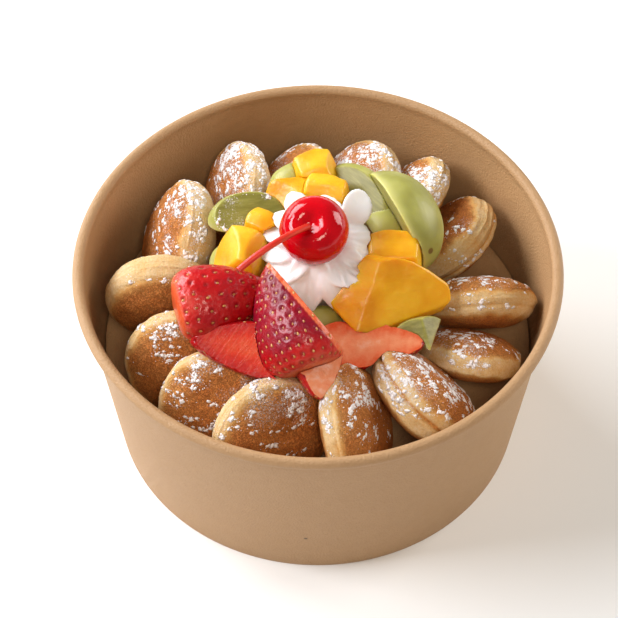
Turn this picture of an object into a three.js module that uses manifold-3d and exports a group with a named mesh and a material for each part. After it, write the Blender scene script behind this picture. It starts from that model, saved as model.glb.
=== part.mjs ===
// Mini pancakes in a paper bowl, topped with strawberries, mango, grapes, whipped cream and a cherry.
//
// Millimetres, +Z up. The origin is the centre of the bowl's foot, on the table. The pancakes stand on
// their edges in a ring on the bowl's floor, the fruit lies over the hollow of that ring, and the cream
// stands in the middle with the cherry on it.
import * as THREE from "three";
import { mergeVertices } from "three/addons/utils/BufferGeometryUtils.js";
import Module from "manifold-3d";

const wasm = await Module();
wasm.setup();

// ---------------------------------------------------------------- driving dimensions
const GAP = 0.4; // clearance between pieces that touch
const FINEST = 0.25; // smallest step kept where a piece has been cut
const BOWL = {
  height: 71,
  rimRadius: 75, // outermost, at the rolled edge
  rollRadius: 1.8, // section of the rolled edge
  wallTop: 72.4, // outer radius just under the roll
  footRadius: 65.5,
  footWidth: 1.6, // thickness of the folded hem the bowl stands on
  hem: 4, // height of that hem
  wall: 0.8,
  floorDepth: 37, // from the top of the rim down to the floor
  ledgeDrop: 2.6, // how far under the roll the small step is
  ledge: 0.3, // depth of that step
};
const FLOOR = BOWL.height - BOWL.floorDepth;
const CHERRY = { radius: 10.5, height: 19.4, dimple: 2.4, dimpleRadius: 3.4 };
const STEM = { radius: 1.1, swell: 0.3 };
const CREAM = {
  top: 84,
  crown: 16.8, // radius where it is widest
  lobes: 7,
  lobeDepth: 0.12,
  twist: 0.8, // turn of the lobes from foot to top, in radians
};

const PAPER = { color: 0xc19a6b, roughness: 0.75 };
const CRUST = { color: 0xa9683a, roughness: 0.7 };
const BERRY = { color: 0xc21a1e, roughness: 0.35 };
const MANGO = { color: 0xf0ac22, roughness: 0.4 };
const GRAPE = { color: 0xa9ad5c, roughness: 0.3 };
const WHITE = { color: 0xf6efe9, roughness: 0.6 };
const CHERRY_RED = { color: 0xd00a16, roughness: 0.15 };
const STEM_RED = { color: 0xd8402f, roughness: 0.4 };

// ---------------------------------------------------------------- small helpers
const radians = THREE.MathUtils.degToRad;

/** A closed geometry with its shared corners joined. */
function joined(geometry) {
  const bare = geometry.clone();
  bare.deleteAttribute("normal");
  bare.deleteAttribute("uv");
  return mergeVertices(bare, 1e-3);
}

/** A closed geometry as a solid that can be cut. */
function solidOf(geometry) {
  const { attributes, index } = joined(geometry);
  return new wasm.Manifold(
    new wasm.Mesh({
      numProp: 3,
      vertProperties: attributes.position.array,
      triVerts: new Uint32Array(index.array),
    }),
  );
}

/** A solid back as a geometry: its largest body, should a cut have left crumbs. */
function geometryOf(solid) {
  const bodies = solid.simplify(FINEST).decompose();
  const largest = bodies.sort((a, b) => b.volume() - a.volume())[0];
  const { numProp, numVert, vertProperties, triVerts } = largest.getMesh();
  const position = new Float32Array(numVert * 3);
  for (let i = 0; i < numVert; i++) {
    position.set(vertProperties.subarray(i * numProp, i * numProp + 3), i * 3);
  }
  return new THREE.BufferGeometry()
    .setAttribute("position", new THREE.BufferAttribute(position, 3))
    .setIndex(new THREE.BufferAttribute(triVerts, 1));
}

/** Moves every vertex of a geometry by a function of its place. */
function reshape(geometry, move) {
  const position = geometry.getAttribute("position");
  const point = new THREE.Vector3();
  for (let i = 0; i < position.count; i++) {
    move(point.fromBufferAttribute(position, i), i);
    position.setXYZ(i, point.x, point.y, point.z);
  }
  return geometry;
}

/** A geometry grown outwards all round by a distance. */
function grown(geometry, distance) {
  const skin = joined(geometry);
  skin.computeVertexNormals();
  const normal = skin.getAttribute("normal");
  const out = new THREE.Vector3();
  return reshape(skin, (p, i) => p.addScaledVector(out.fromBufferAttribute(normal, i), distance));
}

/** A geometry with all that lies past a plane cut off: the plane is at `offset` along `direction`. */
function slice(geometry, direction, offset) {
  const size = 100;
  const knife = new THREE.BoxGeometry(size, size, size).translate(0, 0, offset + size / 2);
  const facing = new THREE.Vector3(...direction).normalize();
  knife.applyQuaternion(new THREE.Quaternion().setFromUnitVectors(new THREE.Vector3(0, 0, 1), facing));
  return geometryOf(solidOf(geometry).subtract(solidOf(knife)));
}

/** A named mesh in its own finish. */
function piece(name, geometry, finish) {
  const mesh = new THREE.Mesh(geometry, new THREE.MeshStandardMaterial(finish));
  mesh.name = name;
  return mesh;
}

/** Puts a piece with its +X along a heading and a rise, and turned about that axis by a spin, in degrees. */
function aim(mesh, { at, heading = 0, rise = 0, spin = 0 }) {
  mesh.position.set(...at);
  mesh.rotation.set(radians(spin), radians(-rise), radians(heading), "ZYX");
  return mesh;
}

/** Adds a piece to the dish, pressed against what is there: it gives way wherever it would touch. */
function settle(dish, mesh) {
  mesh.updateMatrixWorld();
  const box = new THREE.Box3().setFromObject(mesh).expandByScalar(GAP);
  let solid = solidOf(mesh.geometry.clone().applyMatrix4(mesh.matrixWorld));
  let pressed = false;
  for (const other of dish.children) {
    if (!box.intersectsBox(new THREE.Box3().setFromObject(other))) continue;
    const kept = solid.subtract(
      solidOf(grown(other.geometry, GAP).applyMatrix4(other.matrixWorld)),
    );
    if (kept.volume() < solid.volume() - 1e-3) {
      solid = kept;
      pressed = true;
    }
  }
  if (pressed) {
    mesh.geometry = geometryOf(solid).applyMatrix4(mesh.matrixWorld.clone().invert());
  }
  dish.add(mesh);
}

// ---------------------------------------------------------------- shapes, each about its own origin
const bowlSlope = (BOWL.wallTop - BOWL.footRadius) / (BOWL.height - BOWL.rollRadius);

/** The radius of the wall's outside at a height. */
const outside = (z) => BOWL.footRadius + bowlSlope * z;

/** The bowl's wall: a folded hem to stand on, the sloping side, a small step, and the rolled rim. */
function wallGeometry() {
  const inside = (z) => outside(z) - BOWL.wall;
  const rollAt = { r: BOWL.rimRadius - BOWL.rollRadius, z: BOWL.height - BOWL.rollRadius };
  const ledgeAt = BOWL.height - 2 * BOWL.rollRadius - BOWL.ledgeDrop;
  const points = [
    [BOWL.footRadius - BOWL.footWidth, 0],
    [BOWL.footRadius, 0],
    [outside(ledgeAt), ledgeAt],
    [outside(ledgeAt) - BOWL.ledge, ledgeAt + BOWL.ledge],
  ];
  const rollSteps = 6;
  for (let i = 0; i <= rollSteps; i++) {
    const angle = radians(-95 + (275 * i) / rollSteps);
    points.push([
      rollAt.r + BOWL.rollRadius * Math.cos(angle),
      rollAt.z + BOWL.rollRadius * Math.sin(angle),
    ]);
  }
  points.push([inside(BOWL.hem), BOWL.hem], [BOWL.footRadius - BOWL.footWidth, BOWL.hem - 1], points[0]);
  const outline = points.map(([r, z]) => new THREE.Vector2(r, z));
  return new THREE.LatheGeometry(outline, 52).rotateX(Math.PI / 2);
}

/** The bowl's floor: a round board with softened edges that fits inside the wall. */
function floorGeometry() {
  const edge = 0.25;
  const under = FLOOR - BOWL.wall;
  const radius = outside(under) - BOWL.wall - GAP;
  const outline = [
    [0, under],
    [radius - edge, under],
    [radius, under + edge],
    [radius, FLOOR - edge],
    [radius - edge, FLOOR],
    [0, FLOOR],
  ].map(([r, z]) => new THREE.Vector2(r, z));
  return new THREE.LatheGeometry(outline, 52).rotateX(Math.PI / 2);
}

/** A small round pancake with two domed faces, a little out of round. +X is the browner face. */
function pancakeGeometry({ radius, thickness, phase }) {
  const outline = [];
  const steps = 6;
  for (let i = 0; i <= steps; i++) {
    const angle = radians(-90 + (180 * i) / steps);
    const reach = i % steps ? Math.cos(angle) ** 0.72 : 0;
    outline.push(new THREE.Vector2(radius * reach, (thickness / 2) * Math.sin(angle)));
  }
  const round = new THREE.LatheGeometry(outline, 18).rotateZ(-Math.PI / 2);
  return reshape(round, (p) => {
    const around = Math.atan2(p.z, p.y);
    const out = Math.hypot(p.y, p.z) / radius;
    const swell = 1 + 0.015 * Math.sin(2 * around + phase) + 0.01 * Math.sin(3 * around - phase);
    p.y *= swell;
    p.z *= swell;
    p.x += 0.025 * thickness * out * out * Math.sin(2 * around - 2 * phase);
  });
}

/**
 * A strawberry along +X, from the cut-off stalk end to the tip. `above` and `below` are how much of
 * its width is left above and below its axis when it has been sliced along its length.
 */
function strawberryGeometry({ length, width, above = 0.5, below = 0.5, facets = [] }) {
  const shares = [
    [0, 0],
    [0.36, 0],
    [0.48, 0.12],
    [0.5, 0.3],
    [0.43, 0.55],
    [0.29, 0.78],
    [0.13, 0.95],
    [0, 1],
  ];
  const outline = shares.map(([r, s]) => new THREE.Vector2(r * width, (s - 0.5) * length));
  let berry = new THREE.LatheGeometry(outline, 14).rotateZ(-Math.PI / 2);
  if (above < 0.5) berry = slice(berry, [0, 0, 1], above * width);
  if (below < 0.5) berry = slice(berry, [0, 0, -1], below * width);
  return facets.reduce((rest, [direction, offset]) => slice(rest, direction, offset), berry);
}

/**
 * A chunk of mango: a soft-edged block. Its top is `taper` narrower, its +X end is `nose` narrower,
 * and its +Y side bulges as the outside of the fruit does. Each of its `facets` is a flat cut that
 * faces a direction, at a distance from the middle.
 */
function chunkGeometry({ length, width, height, taper = 0.2, bulge = 0.1, soft = 0.2, nose = 0, facets = [] }) {
  const block = new THREE.BoxGeometry(2, 2, 2, 3, 2, 2);
  const ball = new THREE.Vector3();
  reshape(block, (p) => {
    ball.copy(p).normalize().multiplyScalar(1.3);
    p.lerp(ball, soft);
    const up = 0.5 + 0.5 * p.z;
    const side = p.y > 0 ? p.y * bulge * (1 - 0.8 * p.x * p.x) : 0;
    const slim = (1 - taper * up) * (1 - nose * (0.5 + 0.5 * p.x));
    p.x *= (length / 2) * (1 - 0.5 * taper * up);
    p.y = (width / 2) * (p.y * slim + 2 * side);
    p.z *= height / 2;
  });
  return facets.reduce((chunk, [direction, offset]) => slice(chunk, direction, offset), block);
}

/** A grape along +X with its rounded side up; all but `keep` of its width has been cut away below. */
function grapeGeometry({ length, width, keep = 0.5 }) {
  const whole = new THREE.SphereGeometry(1, 10, 8).rotateZ(Math.PI / 2);
  whole.scale(length / 2, width / 2, width / 2);
  return keep < 1 ? slice(whole, [0, 0, -1], (keep - 0.5) * width) : whole;
}

/** The piped cream: a column on the floor that opens into turning lobes, one of them drawn out. */
function creamGeometry() {
  const foot = FLOOR + GAP;
  const shares = [
    [0, 0],
    [0.6, 0],
    [0.62, 0.62],
    [0.9, 0.75],
    [1.03, 0.83],
    [0.98, 0.91],
    [0.74, 0.97],
    [0.4, 0.995],
    [0, 1],
  ];
  const outline = shares.map(
    ([r, s]) => new THREE.Vector2(r * CREAM.crown, foot + s * (CREAM.top - foot)),
  );
  const column = new THREE.LatheGeometry(outline, 4 * CREAM.lobes).rotateX(Math.PI / 2);
  return reshape(column, (p) => {
    const around = Math.atan2(p.y, p.x);
    const share = (p.z - foot) / (CREAM.top - foot);
    const open = THREE.MathUtils.smoothstep(share, 0.55, 0.75);
    const ridge = Math.cos(CREAM.lobes * (around - CREAM.twist * share));
    const tail = Math.max(0, Math.cos(around - radians(60))) ** 6;
    const tongue = Math.max(0, Math.cos(around - radians(268))) ** 8;
    const swell = 1 + open * (CREAM.lobeDepth * ridge + 0.2 * tail + 0.1 * tongue);
    p.x *= swell;
    p.y *= swell;
    p.z -= open * tongue * 0.25 * Math.hypot(p.x, p.y);
  });
}

/** The cherry: a slightly flat ball with a dimple for its stem at the top, +Z. */
function cherryGeometry() {
  const outline = [];
  const steps = 10;
  for (let i = 0; i <= steps; i++) {
    const angle = radians(-90 + (180 * i) / steps);
    const r = i % steps ? CHERRY.radius * Math.cos(angle) : 0;
    const dip = CHERRY.dimple * Math.exp(-((r / CHERRY.dimpleRadius) ** 2));
    const z = (CHERRY.height / 2) * Math.sin(angle);
    outline.push(new THREE.Vector2(r, angle > 0 ? z - dip : z));
  }
  return new THREE.LatheGeometry(outline, 18).rotateX(Math.PI / 2);
}

/** The cherry's stem: a thin curved stalk through three points. */
function stemGeometry(from, over, to) {
  const path = new THREE.QuadraticBezierCurve3(
    new THREE.Vector3(...from),
    new THREE.Vector3(...over),
    new THREE.Vector3(...to),
  );
  const section = new THREE.Shape().absarc(0, 0, STEM.radius, 0, 2 * Math.PI);
  const options = { steps: 8, curveSegments: 4, extrudePath: path };
  return new THREE.ExtrudeGeometry(section, options);
}

// ---------------------------------------------------------------- the bowl and the ring of pancakes
const dish = new THREE.Group();
dish.add(piece("bowl_wall", wallGeometry(), PAPER));
dish.add(piece("bowl_floor", floorGeometry(), PAPER));

// Where each pancake stands round the ring, where its browner face looks, and its size.
const PANCAKES = [
  { around: 310, out: 50.4, heading: 33, rise: 38, radius: 19.2, thickness: 18.5 },
  { around: 283, out: 50.3, heading: -6, rise: 23, radius: 19, thickness: 16.3 },
  { around: 255, out: 53, heading: 299, rise: 20, radius: 19, thickness: 14.6 },
  { around: 235, out: 51.2, heading: 275, rise: 32, radius: 19, thickness: 15.5 },
  { around: 210, out: 47.5, heading: 270, rise: 24, radius: 17.6, thickness: 14.6 },
  { around: 180, out: 48, heading: 270, rise: -3, radius: 17.8, thickness: 18 },
  { around: 153, out: 49.5, heading: 185, rise: 24, radius: 19.5, thickness: 18.6 },
  { around: 121, out: 50.4, heading: 194, rise: 23, radius: 17.5, thickness: 15 },
  { around: 99, out: 44.5, heading: 190, rise: 44, radius: 18.8, thickness: 15.6 },
  { around: 74, out: 46, heading: 185, rise: 40, radius: 18.8, thickness: 16 },
  { around: 55, out: 49.3, heading: 158, rise: 40, radius: 18.6, thickness: 14.8 },
  { around: 32, out: 52, heading: 162, rise: 43, radius: 15.6, thickness: 15.4 },
  { around: 0, out: 50.4, heading: 91, rise: 33, radius: 17.8, thickness: 15.8 },
  { around: 339, out: 50, heading: 77, rise: 49, radius: 16.3, thickness: 14 },
];

PANCAKES.forEach(({ around, out, heading, rise, radius, thickness }, index) => {
  const name = `pancake_${String(index + 1).padStart(2, "0")}`;
  const cake = piece(name, pancakeGeometry({ radius, thickness, phase: 1.7 * index }), CRUST);
  const at = [out * Math.cos(radians(around)), out * Math.sin(radians(around)), 0];
  aim(cake, { at, heading, rise });
  const lowest = new THREE.Box3().setFromObject(cake, true).min.z;
  cake.position.z = FLOOR + GAP - lowest;
  settle(dish, cake);
});

// ---------------------------------------------------------------- the cherry, its stem and the top berries
const cherry = piece("cherry", cherryGeometry(), CHERRY_RED);
cherry.position.set(-1.2, 0, 85);
cherry.rotation.set(radians(26), radians(-10), 0);
settle(dish, cherry);
const stem = stemGeometry([-2.8, -4, 92], [-14, -13, 97], [-23.3, -20, 90.5]);
settle(dish, piece("cherry_stem", stem, STEM_RED));

const topBerries = {
  strawberry_centre: [
    { length: 35, width: 26, facets: [[[0.34, 0, -0.94], 5]] },
    { at: [-8, -26, 77], heading: 112, rise: 25, spin: -105 },
  ],
  strawberry_left: [
    { length: 30, width: 23, below: 0.12 },
    { at: [-28, -18, 74], heading: 15 },
  ],
};
for (const [name, [size, place]] of Object.entries(topBerries)) {
  settle(dish, aim(piece(name, strawberryGeometry(size), BERRY), place));
}

// ---------------------------------------------------------------- the cream, and the fruit under it
const cream = piece("cream", creamGeometry(), WHITE);
cream.position.set(-1, 2, 0);
settle(dish, cream);

const chunks = {
  mango_front: [
    {
      length: 38,
      width: 25,
      height: 20,
      taper: 0,
      nose: 0.3,
      bulge: 0,
      facets: [
        [[0.46, -0.55, 0.7], -0.4],
        [[-0.71, -0.3, 0.64], 8.2],
        [[0.1, 0.35, 0.93], 11.6],
        [[0.42, -0.88, -0.2], 6.4],
        [[-0.29, -0.29, -0.91], 8.9],
      ],
    },
    { at: [21, -15, 70] },
  ],
  mango_right: [{ length: 17, width: 13, height: 11 }, { at: [23, 1.5, 71] }],
  mango_back_front: [{ length: 13, width: 8, height: 10 }, { at: [2.5, 24, 74], heading: -15 }],
  mango_back_left: [{ length: 17, width: 10, height: 9 }, { at: [-7, 25, 71.5], heading: 5 }],
  mango_back: [{ length: 13, width: 15, height: 15, taper: 0.35 }, { at: [0, 33, 70], heading: 20 }],
  mango_left_small: [{ length: 9, width: 11, height: 13 }, { at: [-16.5, 9.5, 73], heading: 60 }],
  mango_left: [{ length: 15, width: 14, height: 15, taper: 0.35 }, { at: [-23, 0, 72], heading: 70 }],
};
for (const [name, [size, place]] of Object.entries(chunks)) {
  settle(dish, aim(piece(name, chunkGeometry(size), MANGO), place));
}

const lowBerries = {
  strawberry_tip: [
    { length: 26, width: 15, above: 0.2, below: 0.25 },
    { at: [-1, -37, 71], heading: 275, rise: -15 },
  ],
  strawberry_slice_left: [
    { length: 34, width: 18, above: 0.18, below: 0.18 },
    { at: [-22, -33.5, 71.5], heading: 168, spin: -35 },
  ],
  strawberry_slice_right: [
    { length: 31, width: 16.5, above: 0.06, below: 0.2 },
    { at: [16.5, -27.2, 64], heading: 3, rise: -1, spin: 8 },
  ],
};
for (const [name, [size, place]] of Object.entries(lowBerries)) {
  settle(dish, aim(piece(name, strawberryGeometry(size), BERRY), place));
}

const grapes = {
  grape_right: [
    { length: 36, width: 27 },
    { at: [24.5, 16, 70], heading: 116, rise: 5, spin: 100 },
  ],
  grape_left: [{ length: 25, width: 17 }, { at: [-22, 18, 69], heading: 10, spin: -20 }],
  grape_back_right: [{ length: 24, width: 15 }, { at: [14, 29, 69], heading: 135, rise: 5 }],
  grape_back: [{ length: 18, width: 13 }, { at: [-7, 34, 68], heading: 30 }],
  grape_right_low: [{ length: 22, width: 15 }, { at: [21, 18, 67], heading: 120, rise: 5, spin: 30 }],
  grape_front_right: [{ length: 18, width: 13, keep: 0.35 }, { at: [32, -24, 61], heading: 15 }],
  grape_right_edge: [{ length: 16, width: 12 }, { at: [32, -5, 60], heading: 60 }],
  grape_under_cream: [{ length: 16, width: 11 }, { at: [0.5, -17, 63], heading: 10 }],
  grape_left_low: [{ length: 18, width: 13 }, { at: [-27, 2, 64], heading: 100 }],
};
for (const [name, [size, place]] of Object.entries(grapes)) {
  settle(dish, aim(piece(name, grapeGeometry(size), GRAPE), place));
}

export default dish;
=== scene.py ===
"""Mini pancakes in a paper bowl, under strawberries, mango, grapes, whipped cream and a cherry.

Lengths are in millimetres until a piece is finished, and its mesh is then written in metres. A piece
has its own axes: it is shaped about its own origin, and its seat says where it lies in the bowl.
"""

import itertools
import logging
import math
import random
from dataclasses import dataclass, field
from enum import Enum

import bmesh
import bpy
import numpy as np
from mathutils import Matrix, Vector
from mathutils.bvhtree import BVHTree

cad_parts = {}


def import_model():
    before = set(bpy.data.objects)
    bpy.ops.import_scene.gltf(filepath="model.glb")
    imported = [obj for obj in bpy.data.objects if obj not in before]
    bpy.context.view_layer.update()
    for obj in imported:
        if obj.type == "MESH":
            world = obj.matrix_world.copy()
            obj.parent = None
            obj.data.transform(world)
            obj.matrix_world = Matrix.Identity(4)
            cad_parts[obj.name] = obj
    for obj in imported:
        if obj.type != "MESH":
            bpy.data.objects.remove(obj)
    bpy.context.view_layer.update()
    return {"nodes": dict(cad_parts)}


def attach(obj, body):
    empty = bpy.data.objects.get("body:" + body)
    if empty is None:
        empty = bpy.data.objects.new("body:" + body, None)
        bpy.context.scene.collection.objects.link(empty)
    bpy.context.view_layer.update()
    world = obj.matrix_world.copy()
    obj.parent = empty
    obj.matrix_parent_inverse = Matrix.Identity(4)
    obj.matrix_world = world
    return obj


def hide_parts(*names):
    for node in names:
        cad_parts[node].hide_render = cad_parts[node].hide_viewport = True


MM = 0.001
GAP = 0.25  # clearance between pieces that press on each other
FLOOR = 34.0  # height of the bowl's floor
REST = 0.4  # clearance between the floor and what stands on it
ASIDE = 0.013  # how far a flat cut keeps off the points of a grid
CRISP = 50.0  # edges that turn by more than this, in degrees, stay crisp on paper and on cut fruit
BODY = "root"

Triple = tuple[float, float, float]  # a place, a direction, or a size on each axis
Cut = tuple[Triple, float]  # which way a flat cut faces, and how far out it is

log = logging.getLogger("pancakes")


class Slot(Enum):
    """The finishes that the record names."""

    PAPER = "paper"
    PANCAKE = "pancake"
    STRAWBERRY = "strawberry"
    MANGO = "mango"
    GRAPE = "grape"
    CREAM = "cream"
    CHERRY = "cherry"
    STEM = "cherry_stem"


# ---------------------------------------------------------------- numbers over a surface
def smooth(value: np.ndarray, low: float, high: float) -> np.ndarray:
    """A soft step from 0 at low to 1 at high."""
    share = np.clip((value - low) / (high - low), 0, 1)
    return share * share * (3 - 2 * share)


def bell(value: np.ndarray, width: float) -> np.ndarray:
    """A soft bump, 1 at nought and fading over the width."""
    return np.exp(-((value / width) ** 2))


def clouds(points: np.ndarray, size: float, seed: int) -> np.ndarray:
    """Smooth random swells.

    Args:
        points: Places, in millimetres.
        size: How far apart the swells are, in millimetres.
        seed: Which set of swells.

    Returns:
        A value from -1 to 1 at each place.
    """
    cell = points / size + 512
    corner = np.floor(cell).astype(np.int64)
    share = cell - corner
    share = share * share * (3 - 2 * share)
    total = np.zeros(len(points))
    for step in itertools.product((0, 1), repeat=3):
        x, y, z = (corner + step).T
        key = (x * 73856093) ^ (y * 19349663) ^ (z * 83492791) ^ (seed * 951274213)
        key = ((key & 0xFFFFFFFF) * 1274126177) & 0xFFFFFFFF
        key = ((key ^ (key >> 15)) * 2246822519) & 0xFFFFFFFF
        weight = np.where(step, share, 1 - share).prod(axis=1)
        total += weight * ((key ^ (key >> 13)) / 0xFFFFFFFF * 2 - 1)
    return total


def outline_at(shares: list[tuple[float, float]], along: np.ndarray) -> tuple[np.ndarray, np.ndarray]:
    """Reads a rounded outline evenly along its length.

    Args:
        shares: The outline's corners.
        along: Where to read it, from 0 at its start to 1 at its end.

    Returns:
        The two numbers of the outline at each place.
    """
    line = np.array(shares, float)
    for _ in range(4):  # each corner is cut off, which leaves a smooth line
        early, late = line[:-1] * 0.75 + line[1:] * 0.25, line[:-1] * 0.25 + line[1:] * 0.75
        middle = np.stack([early, late], axis=1).reshape(-1, 2)
        line = np.vstack([line[:1], middle, line[-1:]])
    length = np.concatenate([[0], np.cumsum(np.linalg.norm(np.diff(line, axis=0), axis=1))])
    at = along * length[-1]
    return np.interp(at, length, line[:, 0]), np.interp(at, length, line[:, 1])


@dataclass(frozen=True)
class Seat:
    """Where a piece lies: its +X points along a heading and a rise, turned about itself by a spin, in degrees."""

    at: Triple
    heading: float = 0.0
    rise: float = 0.0
    spin: float = 0.0

    def turn(self) -> np.ndarray:
        """The turn as a 3 by 3 matrix.

        Returns:
            The matrix.
        """
        spin = Matrix.Rotation(math.radians(self.spin), 3, "X")
        rise = Matrix.Rotation(math.radians(-self.rise), 3, "Y")
        heading = Matrix.Rotation(math.radians(self.heading), 3, "Z")
        return np.array(heading @ rise @ spin)

    def place(self, own: np.ndarray) -> np.ndarray:
        """Places about the piece's own origin, as places in the bowl."""
        return own @ self.turn().T + np.array(self.at)


# ---------------------------------------------------------------- a mesh being shaped
def ordered(bm: bmesh.types.BMesh) -> bmesh.types.BMesh:
    """Puts a shape's edges and faces in a fixed order, as the operators leave them in a new one each run.

    Args:
        bm: The shape.

    Returns:
        The same shape.
    """
    bm.verts.index_update()
    count = len(bm.verts)

    def rank(face: bmesh.types.BMFace) -> int:
        """A number from the face's first three corners."""
        first, second, third = (corner.index for corner in face.verts[:3])
        return (first * count + second) * count + third

    bm.edges.sort(key=lambda edge: min(v.index for v in edge.verts) * count + max(v.index for v in edge.verts))
    bm.faces.sort(key=rank)
    return bm


def written(bm: bmesh.types.BMesh, name: str) -> bpy.types.Mesh:
    """Writes a shape to a new mesh, and frees it.

    Args:
        bm: The shape, which is used up.
        name: What the mesh is called.

    Returns:
        The mesh.
    """
    mesh = bpy.data.meshes.new(name)
    bm.to_mesh(mesh)
    bm.free()
    return mesh


def linked(name: str, data: bpy.types.ID) -> bpy.types.Object:
    """A new object in the scene.

    Args:
        name: What it is called.
        data: Its mesh, light or camera.

    Returns:
        The object.
    """
    made = bpy.data.objects.new(name, data)
    bpy.context.scene.collection.objects.link(made)
    return made


class Form:
    """A closed mesh being shaped, with named marks that say what its surface is like."""

    def __init__(self, bm: bmesh.types.BMesh) -> None:
        """Takes the shape over from a bmesh and frees that.

        Args:
            bm: The shape, which is used up.
        """
        self.mesh = written(ordered(bm), "form")
        self.own = np.empty(3 * len(self.mesh.vertices))
        self.mesh.vertices.foreach_get("co", self.own)
        self.own = self.own.reshape(-1, 3)
        self.start = self.own.copy()
        self.placed = self.own
        self.marks: dict[str, np.ndarray] = {}
        self.tree: BVHTree | None = None

    def along(self) -> np.ndarray:
        """How far each point of a ball is from pole to pole, from 0 to 1."""
        return 0.5 + np.arcsin(np.clip(self.start[:, 0], -1, 1)) / math.pi

    def around(self) -> np.ndarray:
        """The angle of each point of a ball about its poles."""
        return np.arctan2(self.start[:, 2], self.start[:, 1])

    def normals(self, points: np.ndarray) -> np.ndarray:
        """Which way the surface faces at each of its points.

        Args:
            points: Where its points are now.

        Returns:
            A direction for each point.
        """
        self.mesh.vertices.foreach_set("co", points.ravel())
        self.mesh.update()
        facing = np.empty(points.size)
        self.mesh.vertex_normals.foreach_get("vector", facing)
        return facing.reshape(-1, 3)

    def swell(self, amount: np.ndarray) -> None:
        """Moves the surface outwards by an amount at each point."""
        self.own = self.own + self.normals(self.own) * amount[:, None]

    def cut(self, direction: Triple, offset: float, lip: float = 0.0) -> np.ndarray:
        """Cuts the form flat.

        Args:
            direction: Which way the cut faces.
            offset: How far out it is.
            lip: How far from the cut its mark starts.

        Returns:
            1 on the cut and its lip, and 0 off it.
        """
        facing = np.array(direction, float)
        facing /= np.linalg.norm(facing)
        over = self.own @ facing - offset
        self.own = self.own - facing * np.maximum(over, 0)[:, None]
        return smooth(over, -lip - 0.25, -lip + 0.01)

    def surface(self) -> BVHTree:
        """The placed surface, for finding places on it."""
        return BVHTree.FromPolygons(self.placed.tolist(), [list(face.vertices) for face in self.mesh.polygons])

    def give(self, bm: bmesh.types.BMesh) -> None:
        """Adds the shape to a bmesh, and gives the form's own mesh up.

        Args:
            bm: The bmesh that it is added to.
        """
        self.mesh.vertices.foreach_set("co", self.own.ravel())
        bm.from_mesh(self.mesh)
        bpy.data.meshes.remove(self.mesh)

    def finish(self, node: str, material: bpy.types.Material, slot: Slot, edge: float | None = None) -> None:
        """Makes the shown piece and has it stand for its node.

        Args:
            node: The node that it stands for.
            material: What it is made of.
            slot: The record's name of that finish. It is not used.
            edge: Edges that turn by more than this, in degrees, stay crisp.
        """
        mesh = self.mesh
        mesh.vertices.foreach_set("co", (self.placed * MM).ravel())
        for name, values in self.marks.items():
            kind, key = ("FLOAT", "value") if values.ndim == 1 else ("FLOAT_VECTOR", "vector")
            mesh.attributes.new(name, kind, "POINT").data.foreach_set(key, values.astype(np.float32).ravel())
        mesh.shade_smooth()
        if edge is not None:
            mesh.set_sharp_from_angle(angle=math.radians(edge))
        mesh.materials.append(material)
        mesh.name = f"{node}_shown"
        mesh.update()
        piece = linked(f"{node}_shown", mesh)
        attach(piece, BODY)
        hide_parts(node)
        log.info("%s: %d points", piece.name, len(mesh.vertices))


def ball(segments: int, rings: int) -> Form:
    """A ball of radius 1 with its poles on its own X axis.

    Args:
        segments: Faces round its poles.
        rings: Faces from pole to pole.

    Returns:
        The ball.
    """
    bm = bmesh.new()
    bmesh.ops.create_uvsphere(bm, u_segments=segments, v_segments=rings, radius=1.0)
    turn = Matrix.Rotation(math.pi / 2, 3, "Y")
    bmesh.ops.rotate(bm, verts=bm.verts, cent=(0, 0, 0), matrix=turn)
    return Form(bm)


def block(cuts: int) -> Form:
    """A 2 by 2 by 2 block in a fine grid.

    Args:
        cuts: How many times each edge is cut.

    Returns:
        The block.
    """
    bm = bmesh.new()
    bmesh.ops.create_cube(bm, size=2.0)
    bmesh.ops.subdivide_edges(bm, edges=bm.edges, cuts=cuts, use_grid_fill=True)
    return Form(bm)


def remade(bm: bmesh.types.BMesh, grain: float, ease: int) -> Form:
    """Runs closed shapes together into one even skin.

    Args:
        bm: The shapes. It is freed.
        grain: The size of the new faces.
        ease: How many times the skin is smoothed.

    Returns:
        The skin as a form.
    """
    mesh = written(ordered(bm), "rough")
    rough = linked("rough", mesh)
    fuse = rough.modifiers.new("fuse", "REMESH")
    fuse.mode, fuse.voxel_size = "VOXEL", grain
    smoother = rough.modifiers.new("ease", "SMOOTH")
    smoother.factor, smoother.iterations = 0.5, ease
    seen = rough.evaluated_get(bpy.context.evaluated_depsgraph_get())
    bm = bmesh.new()
    bm.from_mesh(seen.to_mesh())
    seen.to_mesh_clear()
    bpy.data.objects.remove(rough)
    bpy.data.meshes.remove(mesh)
    return Form(bm)


def sliced(form: Form, facets: tuple[Cut, ...]) -> bmesh.types.BMesh:
    """A closed form with flat cuts through it.

    Args:
        form: The form, whose mesh is given up.
        facets: Which way each cut faces, and how far out it is.

    Returns:
        What is left of the form.
    """
    bm = bmesh.new()
    form.give(bm)
    for direction, offset in facets:
        facing = Vector(direction).normalized()
        whole = [*bm.verts, *bm.edges, *bm.faces]
        place = facing * (offset + ASIDE)
        bmesh.ops.bisect_plane(bm, geom=whole, plane_co=place, plane_no=facing, clear_outer=True, dist=1e-5)
        bmesh.ops.holes_fill(bm, edges=[edge for edge in bm.edges if edge.is_boundary])
    return bm


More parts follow.
